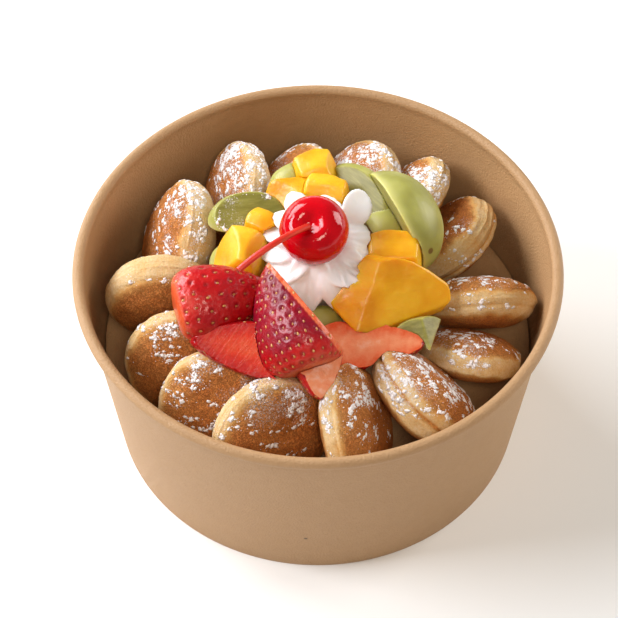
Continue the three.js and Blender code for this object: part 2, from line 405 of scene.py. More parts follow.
class Neighbours:
    """The pieces that are in the bowl already, which a new one is pressed against."""

    def __init__(self) -> None:
        """Starts with an empty bowl."""
        self.bodies: list[tuple[BVHTree, np.ndarray, np.ndarray]] = []

    def add(self, form: Form) -> None:
        """Adds a piece."""
        form.tree = form.surface()
        self.bodies.append((form.tree, form.placed.min(axis=0), form.placed.max(axis=0)))

    def near(self, low: np.ndarray, high: np.ndarray) -> list[BVHTree]:
        """The pieces whose boxes meet a box."""
        return [tree for tree, lo, hi in self.bodies if np.all(lo < high) and np.all(hi > low)]

    def core(self, form: Form) -> np.ndarray:
        """The place in a form that is deepest in it and clear of what is in the bowl already.

        Args:
            form: The piece, in its place.

        Returns:
            The place.
        """
        low, high = form.placed.min(axis=0), form.placed.max(axis=0)
        near, whole = self.near(low, high), form.surface()
        best, found = -math.inf, (low + high) / 2
        for share in itertools.product(np.linspace(0.1, 0.9, 9), repeat=3):
            spot = low + (high - low) * np.array(share)
            depth = -self.outside(whole, spot)
            if depth <= best:
                continue
            depth = min([depth, *(self.outside(tree, spot) for tree in near)])
            if depth > best:
                best, found = depth, spot
        return found

    @staticmethod
    def outside(tree: BVHTree, spot: np.ndarray) -> float:
        """How far a place is outside a closed surface, and below nought inside it."""
        nearest, facing, _, away = tree.find_nearest(Vector(spot))
        return away if (Vector(spot) - nearest).dot(facing) > 0 else -away

    def press(self, form: Form, core: np.ndarray) -> np.ndarray:
        """Presses a form in among the others: each point gives way towards the core of its piece.

        Args:
            form: The new piece, in its place. It is changed.
            core: The middle of the piece, or a middle for each of its points.

        Returns:
            1 at each point that gave way, and 0 at the others.
        """
        points = form.placed.copy()
        near = self.near(points.min(axis=0) - GAP, points.max(axis=0) + GAP)
        cores = np.broadcast_to(core, points.shape)
        touched = np.zeros(len(points))
        for index, (point, middle) in enumerate(zip(points, cores)):
            ray = point - middle
            reach = float(np.linalg.norm(ray))
            if reach < 1e-6:
                continue
            way = Vector(ray / reach)
            start = Vector(middle)
            for tree in near:
                hit = tree.ray_cast(start, way, reach + GAP)[3]
                if hit is not None and hit - GAP < reach:
                    reach = max(hit - GAP, 0.05)
                    touched[index] = 1
            if touched[index]:
                points[index] = middle + np.array(way) * reach
        form.placed = points
        self.add(form)
        return touched


# ---------------------------------------------------------------- colours and nodes
def tint(code: str) -> tuple[float, float, float, float]:
    """A colour from its six hex digits.

    Args:
        code: The digits.

    Returns:
        Red, green and blue as a shader reads them, and 1.
    """
    parts = [int(code[i : i + 2], 16) / 255 for i in (0, 2, 4)]
    linear = [c / 12.92 if c <= 0.04045 else ((c + 0.055) / 1.055) ** 2.4 for c in parts]
    return (*linear, 1.0)


Socket = bpy.types.NodeSocket
Value = float | tuple | Socket | None
Stops = tuple[tuple[float, str], ...]  # places along a run of colours, and the colour at each


class Bench:
    """Sets out nodes in a tree and joins them up."""

    def __init__(self, tree: bpy.types.NodeTree) -> None:
        """Works in this tree."""
        self.tree = tree

    def node(self, kind: str, inputs: dict | None = None, **settings: object) -> bpy.types.Node:
        """Adds a node with its settings, and feeds its inputs.

        Args:
            kind: Which node.
            inputs: A value or another node's socket for each input, by name or number.
            settings: The node's own settings.

        Returns:
            The node.
        """
        made = self.tree.nodes.new(kind)
        for name, value in settings.items():
            setattr(made, name, value)
        for name, value in (inputs or {}).items():
            self.feed(made.inputs[name], value)
        return made

    def feed(self, socket: Socket, value: Value) -> None:
        """Gives an input a value or another node's socket.

        Args:
            socket: The input.
            value: A number, a colour, or the socket of another node.
        """
        if isinstance(value, Socket):
            self.tree.links.new(value, socket)
        elif value is not None:
            socket.default_value = value

    def math(self, operation: str, a: Value, b: Value = None, c: Value = None, clamp: bool = False) -> Socket:
        """A sum of one, two or three values."""
        return self.node("ShaderNodeMath", {0: a, 1: b, 2: c}, operation=operation, use_clamp=clamp).outputs[0]

    def times(self, a: Value, b: Value) -> Socket:
        """One value times another."""
        return self.math("MULTIPLY", a, b)

    def scaled(self, vector: Socket, by: Triple) -> Socket:
        """A vector stretched along each axis."""
        return self.node("ShaderNodeVectorMath", {0: vector, 1: by}, operation="MULTIPLY").outputs[0]

    def mix(self, factor: Value, a: Value, b: Value) -> Socket:
        """One colour over another."""
        return self.node("ShaderNodeMix", {0: factor, 6: a, 7: b}, data_type="RGBA").outputs[2]

    def noise(self, vector: Socket, scale: Value, detail: float = 2.0, roughness: float = 0.5) -> Socket:
        """Smooth random swells, about 0.5."""
        inputs = {"Vector": vector, "Scale": scale, "Detail": detail, "Roughness": roughness}
        return self.node("ShaderNodeTexNoise", inputs).outputs[0]

    def cells(self, vector: Socket, scale: Value) -> Socket:
        """The distance to the nearest of many scattered points."""
        return self.node("ShaderNodeTexVoronoi", {"Vector": vector, "Scale": scale}, feature="F1").outputs[0]

    def apart(self, vector: Socket, centre: Value) -> Socket:
        """How far each place is from a centre."""
        return self.node("ShaderNodeVectorMath", {0: vector, 1: centre}, operation="DISTANCE").outputs["Value"]

    def line(self, swells: Socket, width: float) -> Socket:
        """Thin lines, 1 where swells cross their middle."""
        return self.step(self.math("ABSOLUTE", self.centred(swells)), 0.0, width, 1.0, 0.0)

    def centred(self, swells: Socket, amount: float | None = None) -> Socket:
        """Swells about nought, times an amount."""
        level = self.math("SUBTRACT", swells, 0.5)
        return level if amount is None else self.math("MULTIPLY", level, amount)

    def step(self, value: Value, low: float, high: float, start: float = 0.0, end: float = 1.0) -> Socket:
        """A soft step from start at low to end at high."""
        inputs = {0: value, 1: low, 2: high, 3: start, 4: end}
        return self.node("ShaderNodeMapRange", inputs, interpolation_type="SMOOTHSTEP").outputs[0]

    def ramp(self, factor: Value, stops: Stops) -> Socket:
        """A run of colours.

        Args:
            factor: What the run is read by.
            stops: Its places and colours.

        Returns:
            The colour's socket.
        """
        made = self.node("ShaderNodeValToRGB", {0: factor})
        band = made.color_ramp
        while len(band.elements) < len(stops):
            band.elements.new(0.5)
        for element, (position, code) in zip(band.elements, stops):
            element.position = position
            element.color = tint(code)
        return made.outputs[0]

    def mark(self, name: str) -> Socket:
        """A mark of the form's, as a value."""
        return self.node("ShaderNodeAttribute", attribute_name=name).outputs["Fac"]

    def spot(self, name: str) -> Socket:
        """A mark of the form's, as a place."""
        return self.node("ShaderNodeAttribute", attribute_name=name).outputs["Vector"]

    def own(self) -> Socket:
        """The place on the piece in its own axes, in millimetres."""
        return self.spot("own")

    def place(self) -> Socket:
        """The place in the bowl, in millimetres."""
        return self.scaled(self.node("ShaderNodeTexCoord").outputs["Object"], (1000, 1000, 1000))

    def bump(self, height: Socket, depth: float, before: Socket | None = None) -> Socket:
        """Relief of a depth in millimetres."""
        inputs = {"Height": height, "Distance": depth * MM, "Strength": 1.0, "Normal": before}
        return self.node("ShaderNodeBump", inputs).outputs[0]

    def use(self, group: bpy.types.NodeTree, inputs: dict) -> bpy.types.Node:
        """Places a shared group of nodes."""
        return self.node("ShaderNodeGroup", inputs, node_tree=group)

    def dusted(
        self, own: Socket, colour: Socket, shader: bpy.types.Node, white: str, bare: float, dry: float
    ) -> Socket:
        """Feeds a shader its colour and roughness with powdered sugar over them.

        Args:
            own: The place on the piece.
            colour: The colour under the sugar.
            shader: The shader.
            white: The sugar's colour.
            bare: How rough the piece is.
            dry: How rough the sugar is.

        Returns:
            The sugar's relief.
        """
        dust = self.use(SugarDust.tree(), {"Fallen": self.mark("sugar"), "Place": own}).outputs
        self.feed(shader.inputs["Base Color"], self.mix(dust["Mask"], colour, tint(white)))
        self.feed(shader.inputs["Roughness"], self.step(dust["Mask"], 0, 1, bare, dry))
        return dust["Height"]


class SharedGroup:
    """A group of nodes that more than one material places."""

    name = "shared"
    inputs: tuple[tuple[str, str, float], ...] = ()
    outputs: tuple[tuple[str, str], ...] = ()

    @classmethod
    def tree(cls) -> bpy.types.NodeTree:
        """The group, built the first time that it is asked for.

        Returns:
            The group.
        """
        if cls.name in bpy.data.node_groups:
            return bpy.data.node_groups[cls.name]
        tree = bpy.data.node_groups.new(cls.name, "ShaderNodeTree")
        for name, kind, value in cls.inputs:
            socket = tree.interface.new_socket(name, in_out="INPUT", socket_type=f"NodeSocket{kind}")
            if kind == "Float":
                socket.default_value = value
        for name, kind in cls.outputs:
            tree.interface.new_socket(name, in_out="OUTPUT", socket_type=f"NodeSocket{kind}")
        bench = Bench(tree)
        source = bench.node("NodeGroupInput").outputs
        result = bench.node("NodeGroupOutput").inputs
        for name, socket in cls.build(bench, source).items():
            bench.feed(result[name], socket)
        return tree

    @classmethod
    def build(cls, bench: Bench, source: bpy.types.NodeOutputs) -> dict[str, Socket]:
        """Makes the group's nodes and returns a socket for each output."""
        raise NotImplementedError


class SugarDust(SharedGroup):
    """Powdered sugar that clings in ragged clots where a mark says it fell."""

    name = "sugar_dust"
    inputs = (("Fallen", "Float", 0.0), ("Place", "Vector", 0.0))
    outputs = (("Mask", "Float"), ("Height", "Float"))

    @classmethod
    def build(cls, bench: Bench, source: bpy.types.NodeOutputs) -> dict[str, Socket]:
        """Specks of two sizes and a thin film, kept where enough fell.

        Args:
            bench: Where the nodes are put.
            source: The group's inputs.

        Returns:
            A socket for each output.
        """
        place, fallen = source["Place"], source["Fallen"]
        coarse = bench.noise(place, 0.5, 4.0, 0.75)
        crumbs = bench.step(bench.cells(place, 1.5), 0.12, 0.5, 1.0, 0.0)
        specks = bench.step(bench.cells(place, 3.4), 0.1, 0.34, 1.0, 0.0)
        level = bench.math("ADD", bench.times(fallen, 0.62), bench.times(coarse, 0.9))
        near = bench.step(level, 0.8, 1.0)
        film = bench.times(near, bench.step(bench.noise(place, 1.7, 4.0, 0.8), 0.5, 0.62))
        dots = bench.times(bench.math("MAXIMUM", specks, crumbs), bench.step(level, 0.74, 0.95))
        mask = bench.math("MAXIMUM", bench.times(film, 0.4), bench.times(dots, 0.75), clamp=True)
        return {"Mask": mask, "Height": bench.times(mask, bench.math("ADD", 0.6, crumbs))}


class Mottle(SharedGroup):
    """Uneven colour at two sizes."""

    name = "mottle"
    inputs = (
        ("Color", "Color", 0.0),
        ("Shade", "Color", 0.0),
        ("Place", "Vector", 0.0),
        ("Scale", "Float", 1.0),
        ("Amount", "Float", 0.5),
    )
    outputs = (("Color", "Color"),)

    @classmethod
    def build(cls, bench: Bench, source: bpy.types.NodeOutputs) -> dict[str, Socket]:
        """Patches of the shade over the colour.

        Args:
            bench: Where the nodes are put.
            source: The group's inputs.

        Returns:
            A socket for each output.
        """
        patches = bench.step(bench.noise(source["Place"], source["Scale"], 5.0, 0.62), 0.36, 0.66)
        factor = bench.times(patches, source["Amount"])
        return {"Color": bench.mix(factor, source["Color"], source["Shade"])}


class Pores(SharedGroup):
    """Fine pits over a surface."""

    name = "pores"
    inputs = (("Place", "Vector", 0.0), ("Scale", "Float", 1.0))
    outputs = (("Pits", "Float"), ("Height", "Float"))

    @classmethod
    def build(cls, bench: Bench, source: bpy.types.NodeOutputs) -> dict[str, Socket]:
        """Small round pits, and a fine roughness between them.

        Args:
            bench: Where the nodes are put.
            source: The group's inputs.

        Returns:
            A socket for each output.
        """
        place, scale = source["Place"], source["Scale"]
        pits = bench.step(bench.cells(place, scale), 0.08, 0.34, 1.0, 0.0)
        rough = bench.noise(place, scale, 4.0, 0.6)
        return {"Pits": pits, "Height": bench.math("SUBTRACT", rough, bench.times(pits, 0.5))}


@dataclass(frozen=True)
class Finish:
    """What a material is like all over. Lengths are in millimetres."""

    name: str
    roughness: float = 0.6
    coat: float = 0.0
    coat_roughness: float = 0.1
    specular: float = 0.5
    under: float = 0.0
    under_depth: float = 1.0
    under_colour: Triple = (1.0, 0.4, 0.2)

    def start(self) -> tuple[bpy.types.Material, Bench, bpy.types.Node]:
        """An empty material with the finish's own numbers, its bench and its shader.

        Returns:
            The material, its bench and its shader.
        """
        material = bpy.data.materials.new(self.name)
        material.use_nodes = True
        bench = Bench(material.node_tree)
        shader = next(n for n in material.node_tree.nodes if n.type == "BSDF_PRINCIPLED")
        own = {
            "Roughness": self.roughness,
            "Coat Weight": self.coat,
            "Coat Roughness": self.coat_roughness,
            "Specular IOR Level": self.specular,
            "Subsurface Weight": self.under,
            "Subsurface Scale": self.under_depth * MM,
            "Subsurface Radius": self.under_colour,
        }
        for name, value in own.items():
            shader.inputs[name].default_value = value
        return material, bench, shader


@dataclass(frozen=True)
class PaperFinish(Finish):
    """Unbleached paper board with a thin film on it."""

    name: str = "kraft_paper"
    roughness: float = 0.56
    light: str = "b38c61"
    dark: str = "a47c50"
    fibre: str = "85603a"
    dirt: str = "2a1a10"
    speck_at: Triple = (-3.7, -67.2, 19.0)
    speck: tuple[float, float] = (0.35, 0.75)  # where its edge starts and ends, in millimetres

    def material(self) -> bpy.types.Material:
        """Board with short fibres, a fine grain pressed into it, and one small speck of dirt.

        Returns:
            The material.
        """
        material, bench, shader = self.start()
        place = bench.place()
        shades = {"Color": tint(self.light), "Shade": tint(self.dark)}
        board = bench.use(Mottle.tree(), shades | {"Place": place, "Scale": 0.35, "Amount": 0.2})
        fibres = bench.step(bench.noise(bench.scaled(place, (1.0, 1.0, 0.35)), 2.4, 3.0, 0.7), 0.6, 0.72)
        colour = bench.mix(bench.times(fibres, 0.28), board.outputs["Color"], tint(self.fibre))
        speck = bench.step(bench.apart(place, self.speck_at), *self.speck, 1.0, 0.0)
        colour = bench.mix(bench.times(speck, 0.75), colour, tint(self.dirt))
        bench.feed(shader.inputs["Base Color"], colour)
        normal = bench.bump(bench.noise(place, 1.5, 3.0, 0.6), 0.36)
        bench.feed(shader.inputs["Normal"], bench.bump(bench.noise(place, 5.0), 0.02, normal))
        return material


@dataclass(frozen=True)
class CrustFinish(Finish):
    """The crust of a pancake: pale round its edge, brown on its faces, with sugar on it."""

    name: str = "pancake_crust"
    roughness: float = 0.78
    specular: float = 0.14
    under: float = 0.12
    under_depth: float = 1.2
    under_colour: Triple = (1.0, 0.5, 0.25)
    baking: Stops = (
        (0.0, "ecd2a6"),
        (0.2, "e2bd84"),
        (0.34, "dca661"),
        (0.48, "da9a56"),
        (0.64, "d48848"),
        (0.82, "c4763a"),
        (1.0, "a05a28"),
    )
    # painted shade: the dark brown laid along the sunken creases of the browned faces
    crease: str = "6d3d1c"
    # painted shade: the darker brown laid in the pits
    pit_shade: str = "8a5a30"
    sugar: str = "e6dedd"

    def material(self) -> bpy.types.Material:
        """Baked colour by how far each place is browned, with creases and pores; painted shade darkens the creases
        and the pits.

        Returns:
            The material.
        """
        material, bench, shader = self.start()
        own = bench.own()
        baked = bench.mark("baked")
        brown = bench.step(baked, 0.3, 0.6)
        patches = bench.centred(bench.noise(own, 0.13, 3.0, 0.6), 0.5)
        fine = bench.centred(bench.noise(own, 1.5, 4.0, 0.75), 0.55)
        colour = bench.ramp(bench.math("ADD", bench.math("ADD", baked, patches), fine), self.baking)
        crease = bench.line(bench.noise(bench.scaled(own, (1.0, 0.6, 0.6)), 1.9, 3.0, 0.6), 0.08)
        # painted shade: the sunken crease lines on the browned faces are darkened
        colour = bench.mix(bench.times(crease, bench.times(brown, 0.42)), colour, tint(self.crease))
        pores = bench.use(Pores.tree(), {"Place": own, "Scale": 1.5})
        # painted shade: the pits are darkened
        colour = bench.mix(bench.times(pores.outputs["Pits"], 0.2), colour, tint(self.pit_shade))
        dust = bench.dusted(own, colour, shader, self.sugar, self.roughness, 0.95)
        normal = bench.bump(bench.noise(bench.scaled(own, (1.0, 0.7, 0.7)), 1.7, 4.0, 0.7), 0.5)
        sunk = bench.times(crease, bench.math("MULTIPLY_ADD", brown, -0.8, -0.2))
        for height, depth in ((sunk, 0.2), (pores.outputs["Height"], 0.12), (dust, 0.1)):
            normal = bench.bump(height, depth, normal)
        bench.feed(shader.inputs["Normal"], normal)
        return material


@dataclass(frozen=True)
class BerryFinish(Finish):
    """Strawberry: glossy red skin with dimples, and paler streaked flesh where it is cut."""

    name: str = "strawberry"
    roughness: float = 0.3
    coat: float = 0.3
    coat_roughness: float = 0.05
    specular: float = 0.3
    under: float = 0.12
    under_depth: float = 1.2
    under_colour: Triple = (1.0, 0.2, 0.1)
    cut_roughness: float = 0.36
    skins: Stops = ((0.0, "d9604a"), (0.2, "cd2a22"), (0.5, "b90d13"), (0.75, "9c0a1c"), (1.0, "7a0a26"))
    fleshes: Stops = (
        (0.0, "f4d4c8"),
        (0.18, "ec9468"),
        (0.4, "e05a2c"),
        (0.65, "d6320e"),
        (0.88, "be160a"),
        (1.0, "980a0e"),
    )
    # painted shade: the deep red laid in the dimple round each seed
    pit_shade: str = "5e0410"
    streak: str = "f0a070"

    def material(self) -> bpy.types.Material:
        """Skin and flesh by the form's marks, with painted shade in the dimple round each seed.

        Returns:
            The material.
        """
        material, bench, shader = self.start()
        own = bench.own()
        uneven = bench.centred(bench.noise(own, 0.25), 0.5)
        skin = bench.ramp(bench.math("ADD", bench.mark("ripe"), uneven), self.skins)
        # painted shade: each seed's dimple is darkened
        skin = bench.mix(bench.times(bench.mark("pit_shade"), 0.7), skin, tint(self.pit_shade))
        lines = bench.node("ShaderNodeCombineXYZ", {0: bench.mark("slant"), 1: bench.mark("side")}).outputs[0]
        streaks = bench.line(bench.noise(bench.scaled(lines, (0.5, 0.07, 1.0)), 0.9, 3.0, 0.6), 0.05)
        soft = bench.centred(bench.noise(own, 0.35, 3.0, 0.6), 0.35)
        flesh = bench.ramp(bench.math("ADD", bench.mark("depth"), soft), self.fleshes)
        flesh = bench.mix(bench.times(streaks, 0.08), flesh, tint(self.streak))
        bench.feed(shader.inputs["Base Color"], bench.mix(bench.mark("flesh"), skin, flesh))
        rough = bench.step(bench.mark("flesh"), 0.0, 1.0, self.roughness, self.cut_roughness)
        bench.feed(shader.inputs["Roughness"], rough)
        normal = bench.bump(bench.noise(own, 1.0, 3.0, 0.6), 0.28)
        normal = bench.bump(bench.times(streaks, bench.mark("flesh")), 0.03, normal)
        bench.feed(shader.inputs["Normal"], normal)
        return material


@dataclass(frozen=True)
class SeedFinish(Finish):
    """The seeds of a strawberry."""

    name: str = "strawberry_seed"
    roughness: float = 0.32
    coat: float = 0.5
    straws: Stops = ((0.3, "a05a26"), (0.5, "c07c38"), (0.7, "d8a258"))

    def material(self) -> bpy.types.Material:
        """Straw yellow, browner on some.

        Returns:
            The material.
        """
        material, bench, shader = self.start()
        bench.feed(shader.inputs["Base Color"], bench.ramp(bench.noise(bench.place(), 0.3, 1.0), self.straws))
        return material


@dataclass(frozen=True)
class MangoFinish(Finish):
    """Cut mango: wet, with fine long fibres."""

    name: str = "mango_flesh"
    roughness: float = 0.38
    coat: float = 0.16
    coat_roughness: float = 0.2
    specular: float = 0.4
    under: float = 0.7
    under_depth: float = 4.0
    under_colour: Triple = (1.0, 0.6, 0.08)
    golds: Stops = ((0.35, "e29a0a"), (0.5, "edac12"), (0.65, "f5bc28"))
    fibre: str = "f3c65a"

    def material(self) -> bpy.types.Material:
        """Golden flesh with fibres along the piece, and slightly deeper patches.

        Returns:
            The material.
        """
        material, bench, shader = self.start()
        own = bench.own()
        gold = bench.ramp(bench.noise(own, 0.09), self.golds)
        fibres = bench.noise(bench.scaled(own, (0.1, 1.0, 1.0)), 1.1, 4.0, 0.7)
        pale = bench.step(fibres, 0.52, 0.72, 0.0, 0.14)
        bench.feed(shader.inputs["Base Color"], bench.mix(pale, gold, tint(self.fibre)))
        normal = bench.bump(bench.noise(own, 0.5, 3.0), 0.1, bench.bump(fibres, 0.05))
        bench.feed(shader.inputs["Normal"], normal)
        return material


@dataclass(frozen=True)
class GrapeFinish(Finish):
    """A cut green grape: clear flesh, matt with its own juice."""

    name: str = "grape"
    roughness: float = 0.46
    coat: float = 0.12
    coat_roughness: float = 0.18
    specular: float = 0.35
    under: float = 0.85
    under_depth: float = 4.5
    under_colour: Triple = (0.9, 1.0, 0.3)
    skins: Stops = ((0.3, "949044"), (0.5, "a5a254"), (0.7, "b6b268"))
    fleshes: Stops = ((0.3, "7a742e"), (0.5, "88823a"), (0.68, "9a944a"))
    # painted light: the paler yellow of a glow along the cut edge
    rim: str = "cfca86"
    scar: str = "6e4a10"
    sugar: str = "f4eef2"

    def material(self) -> bpy.types.Material:
        """Skin and cut flesh by the form's mark, painted light along the cut edge, and a little sugar.

        Returns:
            The material.
        """
        material, bench, shader = self.start()
        own = bench.own()
        skin = bench.ramp(bench.noise(own, 0.1), self.skins)
        veins = bench.noise(bench.scaled(own, (0.15, 1.0, 1.0)), 0.7, 3.0, 0.6)
        colour = bench.mix(bench.mark("flesh"), skin, bench.ramp(veins, self.fleshes))
        # painted light: a paler, yellower glow in a band along the cut edge
        colour = bench.mix(bench.times(bench.mark("rim"), 0.55), colour, tint(self.rim))
        scar = bench.step(bench.apart(own, bench.spot("scar_at")), 0.7, 1.25, 1.0, 0.0)
        colour = bench.mix(bench.times(scar, 0.85), colour, tint(self.scar))
        dust = bench.dusted(own, colour, shader, self.sugar, self.roughness, 0.9)
        normal = bench.bump(veins, 0.05, bench.bump(bench.noise(own, 0.7, 3.0), 0.08))
        bench.feed(shader.inputs["Normal"], bench.bump(dust, 0.2, normal))
        return material


@dataclass(frozen=True)
class CreamFinish(Finish):
    """Whipped cream."""

    name: str = "whipped_cream"
    roughness: float = 0.5
    specular: float = 0.4
    under: float = 0.5
    under_depth: float = 1.6
    under_colour: Triple = (1.0, 0.9, 0.8)
    white: str = "efeeec"
    blush: str = "e8d2d4"

    def material(self) -> bpy.types.Material:
        """White, with a pink blush in patches where it comes close to the cherry.

        Returns:
            The material.
        """
        material, bench, shader = self.start()
        place = bench.place()
        pink_patches = bench.times(bench.mark("blush"), bench.step(bench.noise(place, 0.3, 3.0), 0.4, 0.7))
        bench.feed(shader.inputs["Base Color"], bench.mix(pink_patches, tint(self.white), tint(self.blush)))
        bench.feed(shader.inputs["Normal"], bench.bump(bench.noise(place, 1.2, 3.0, 0.6), 0.06))
        return material


@dataclass(frozen=True)
class CherryFinish(Finish):
    """A candied cherry."""

    name: str = "candied_cherry"
    roughness: float = 0.05
    specular: float = 0.42
    under: float = 0.08
    under_depth: float = 2.0
    under_colour: Triple = (1.0, 0.05, 0.05)
    reds: Stops = ((0.3, "b0000c"), (0.6, "cc0012"), (0.8, "d60a18"))

    def material(self) -> bpy.types.Material:
        """Deep red under syrup.

        Returns:
            The material.
        """
        material, bench, shader = self.start()
        own = bench.own()
        bench.feed(shader.inputs["Base Color"], bench.ramp(bench.noise(own, 0.12), self.reds))
        normal = bench.bump(bench.noise(own, 1.6), 0.035, bench.bump(bench.noise(own, 0.45), 0.16))
        bench.feed(shader.inputs["Normal"], normal)
        return material


@dataclass(frozen=True)
class StemFinish(Finish):
    """The cherry's stem, dyed by its syrup."""

    name: str = "cherry_stem"
    roughness: float = 0.42
    coat: float = 0.1
    under: float = 0.3
    under_depth: float = 1.5
    under_colour: Triple = (1.0, 0.2, 0.1)
    reds: Stops = ((0.3, "c0200e"), (0.5, "d4301a"), (0.7, "e2502e"))

    def material(self) -> bpy.types.Material:
        """Orange red with lines along it.

        Returns:
            The material.
        """
        material, bench, shader = self.start()
        lines = bench.noise(bench.scaled(bench.own(), (0.06, 1.0, 1.0)), 1.6)
        bench.feed(shader.inputs["Base Color"], bench.ramp(lines, self.reds))
        bench.feed(shader.inputs["Normal"], bench.bump(lines, 0.1))
        return material


@dataclass(frozen=True)
class SugarFinish(Finish):
    """Loose grains and clots of powdered sugar."""

    name: str = "powdered_sugar"
    roughness: float = 0.9
    specular: float = 0.15
    whites: Stops = ((0.35, "e4dcda"), (0.6, "f4f0ee"))

    def material(self) -> bpy.types.Material:
        """White with a faint warm tone.

        Returns:
            The material.
        """
        material, bench, shader = self.start()
        bench.feed(shader.inputs["Base Color"], bench.ramp(bench.noise(bench.place(), 0.8), self.whites))
        return material


# ---------------------------------------------------------------- the bowl
@dataclass
class PaperBowl:
    """A round paper bowl: a sloping wall with a rolled rim and a folded hem, and a floor set into it."""

    height: float = 71.0
    rim_radius: float = 75.0
    roll_radius: float = 1.8
    wall_top: float = 72.4
    foot_radius: float = 65.5
    foot_width: float = 1.6
    hem: float = 4.0
    wall: float = 0.8
    ledge_drop: float = 2.6
    ledge: float = 0.3
    floor_gap: float = 0.4
    steps: int = 192
    soft: float = 0.2
    rings: int = 30
    roll_from: float = -95.0
    roll_turn: float = 275.0
    roll_steps: int = 18
    lap_at: float = 97.0
    lap_width: float = 9.0
    lap: float = 0.18
    lap_below: float = 5.0
    floor_edge: float = 0.25
    groove: float = 0.15
    finish: PaperFinish = field(default_factory=PaperFinish)

    def outside(self, z: float) -> float:
        """The radius of the wall's outside at a height."""
        slope = (self.wall_top - self.foot_radius) / (self.height - self.roll_radius)
        return self.foot_radius + slope * z

    def wall_outline(self) -> list[tuple[float, float]]:
        """The wall's section, as radius and height.

        Returns:
            Radius and height of each corner.
        """
        reach = self.roll_radius
        under_roll = self.height - 2 * reach - self.ledge_drop
        inner_foot = self.foot_radius - self.foot_width
        line = [(inner_foot + self.soft, 0.0), (self.foot_radius - self.soft, 0.0), (self.foot_radius, self.soft)]
        line += [(self.outside(z), z) for z in np.linspace(1.5, under_roll - 0.4, self.rings)]
        line += [(self.outside(under_roll) - self.ledge, under_roll + self.ledge)]
        for i in range(self.roll_steps + 1):
            angle = math.radians(self.roll_from + self.roll_turn * i / self.roll_steps)
            out, up = reach * math.cos(angle), reach * math.sin(angle)
            line.append((self.rim_radius - reach + out, self.height - reach + up))
        start, end = line[-1][1] - 0.6, self.hem + 0.4
        line += [(self.outside(z) - self.wall, z) for z in np.linspace(start, end, self.rings)]
        line += [(self.outside(self.hem) - self.foot_width * 0.9, self.hem - 0.2)]
        return line + [(inner_foot, self.hem - 1), (inner_foot, self.soft)]

    def spun(self, outline: list[tuple[float, float]], closed: bool) -> Form:
        """A section turned all the way round the upright axis.

        Args:
            outline: Radius and height of each corner of the section.
            closed: Whether the last corner joins the first.

        Returns:
            The turned shape.
        """
        bm = bmesh.new()
        corners = [bm.verts.new((r, 0, z)) for r, z in outline]
        edges = [bm.edges.new(pair) for pair in zip(corners, corners[1:])]
        if closed:
            edges.append(bm.edges.new((corners[-1], corners[0])))
        turn = {"cent": (0, 0, 0), "axis": (0, 0, 1), "angle": 2 * math.pi}
        bmesh.ops.spin(bm, geom=corners + edges, steps=self.steps, use_merge=True, **turn)
        bmesh.ops.remove_doubles(bm, verts=bm.verts, dist=1e-4)
        bmesh.ops.recalc_face_normals(bm, faces=bm.faces)
        return Form(bm)

    def build_wall(self) -> Form:
        """The wall, with the lap where its board is joined at the back.

        Returns:
            The wall.
        """
        form = self.spun(self.wall_outline(), closed=True)
        x, y, z = form.own.T
        past = np.degrees(np.arctan2(y, x)) - self.lap_at
        r = np.hypot(x, y)
        face = np.interp(z, [0, self.height], [self.outside(0), self.outside(self.height)])
        outer = smooth(r - face, -0.5, -0.1)
        lap = smooth(past, -0.15, 0.15) * (1 - smooth(past, self.lap_width - 2, self.lap_width))
        below = 1 - smooth(z, self.height - self.lap_below - 2, self.height - self.lap_below)
        way = np.stack([x / r, y / r, np.zeros(len(r))], axis=1)
        form.own = form.own + way * (outer * lap * below * self.lap)[:, None]
        form.placed = form.own
        return form

    def build_floor(self) -> Form:
        """The floor, with a faint ring pressed in near its edge.

        Returns:
            The floor.
        """
        under = FLOOR - self.wall
        radius = self.outside(under) - self.wall - self.floor_gap
        edge = self.floor_edge
        line = [(0.0, under)] + [(r, under) for r in np.linspace(4, radius - edge, 12)]
        line += [(radius, under + edge), (radius, FLOOR - edge), (radius - edge, FLOOR)]
        ring = ((2.2, 0), (2.6, 0), (2.9, self.groove), (3.4, self.groove), (3.8, 0), (5, 0))
        line += [(radius - inset, FLOOR - depth) for inset, depth in ring]
        line += [(r, FLOOR) for r in np.linspace(radius - 10, 4, 8)] + [(0.0, FLOOR)]
        return self.spun(line, closed=False)

    def build(self, others: Neighbours) -> None:
        """Both pieces of the bowl.

        Args:
            others: What is in the bowl already.
        """
        material = self.finish.material()
        wall, floor = self.build_wall(), self.build_floor()
        others.add(wall)
        others.add(floor)
        wall.finish("bowl_wall", material, Slot.PAPER, CRISP)
        floor.finish("bowl_floor", material, Slot.PAPER, CRISP)


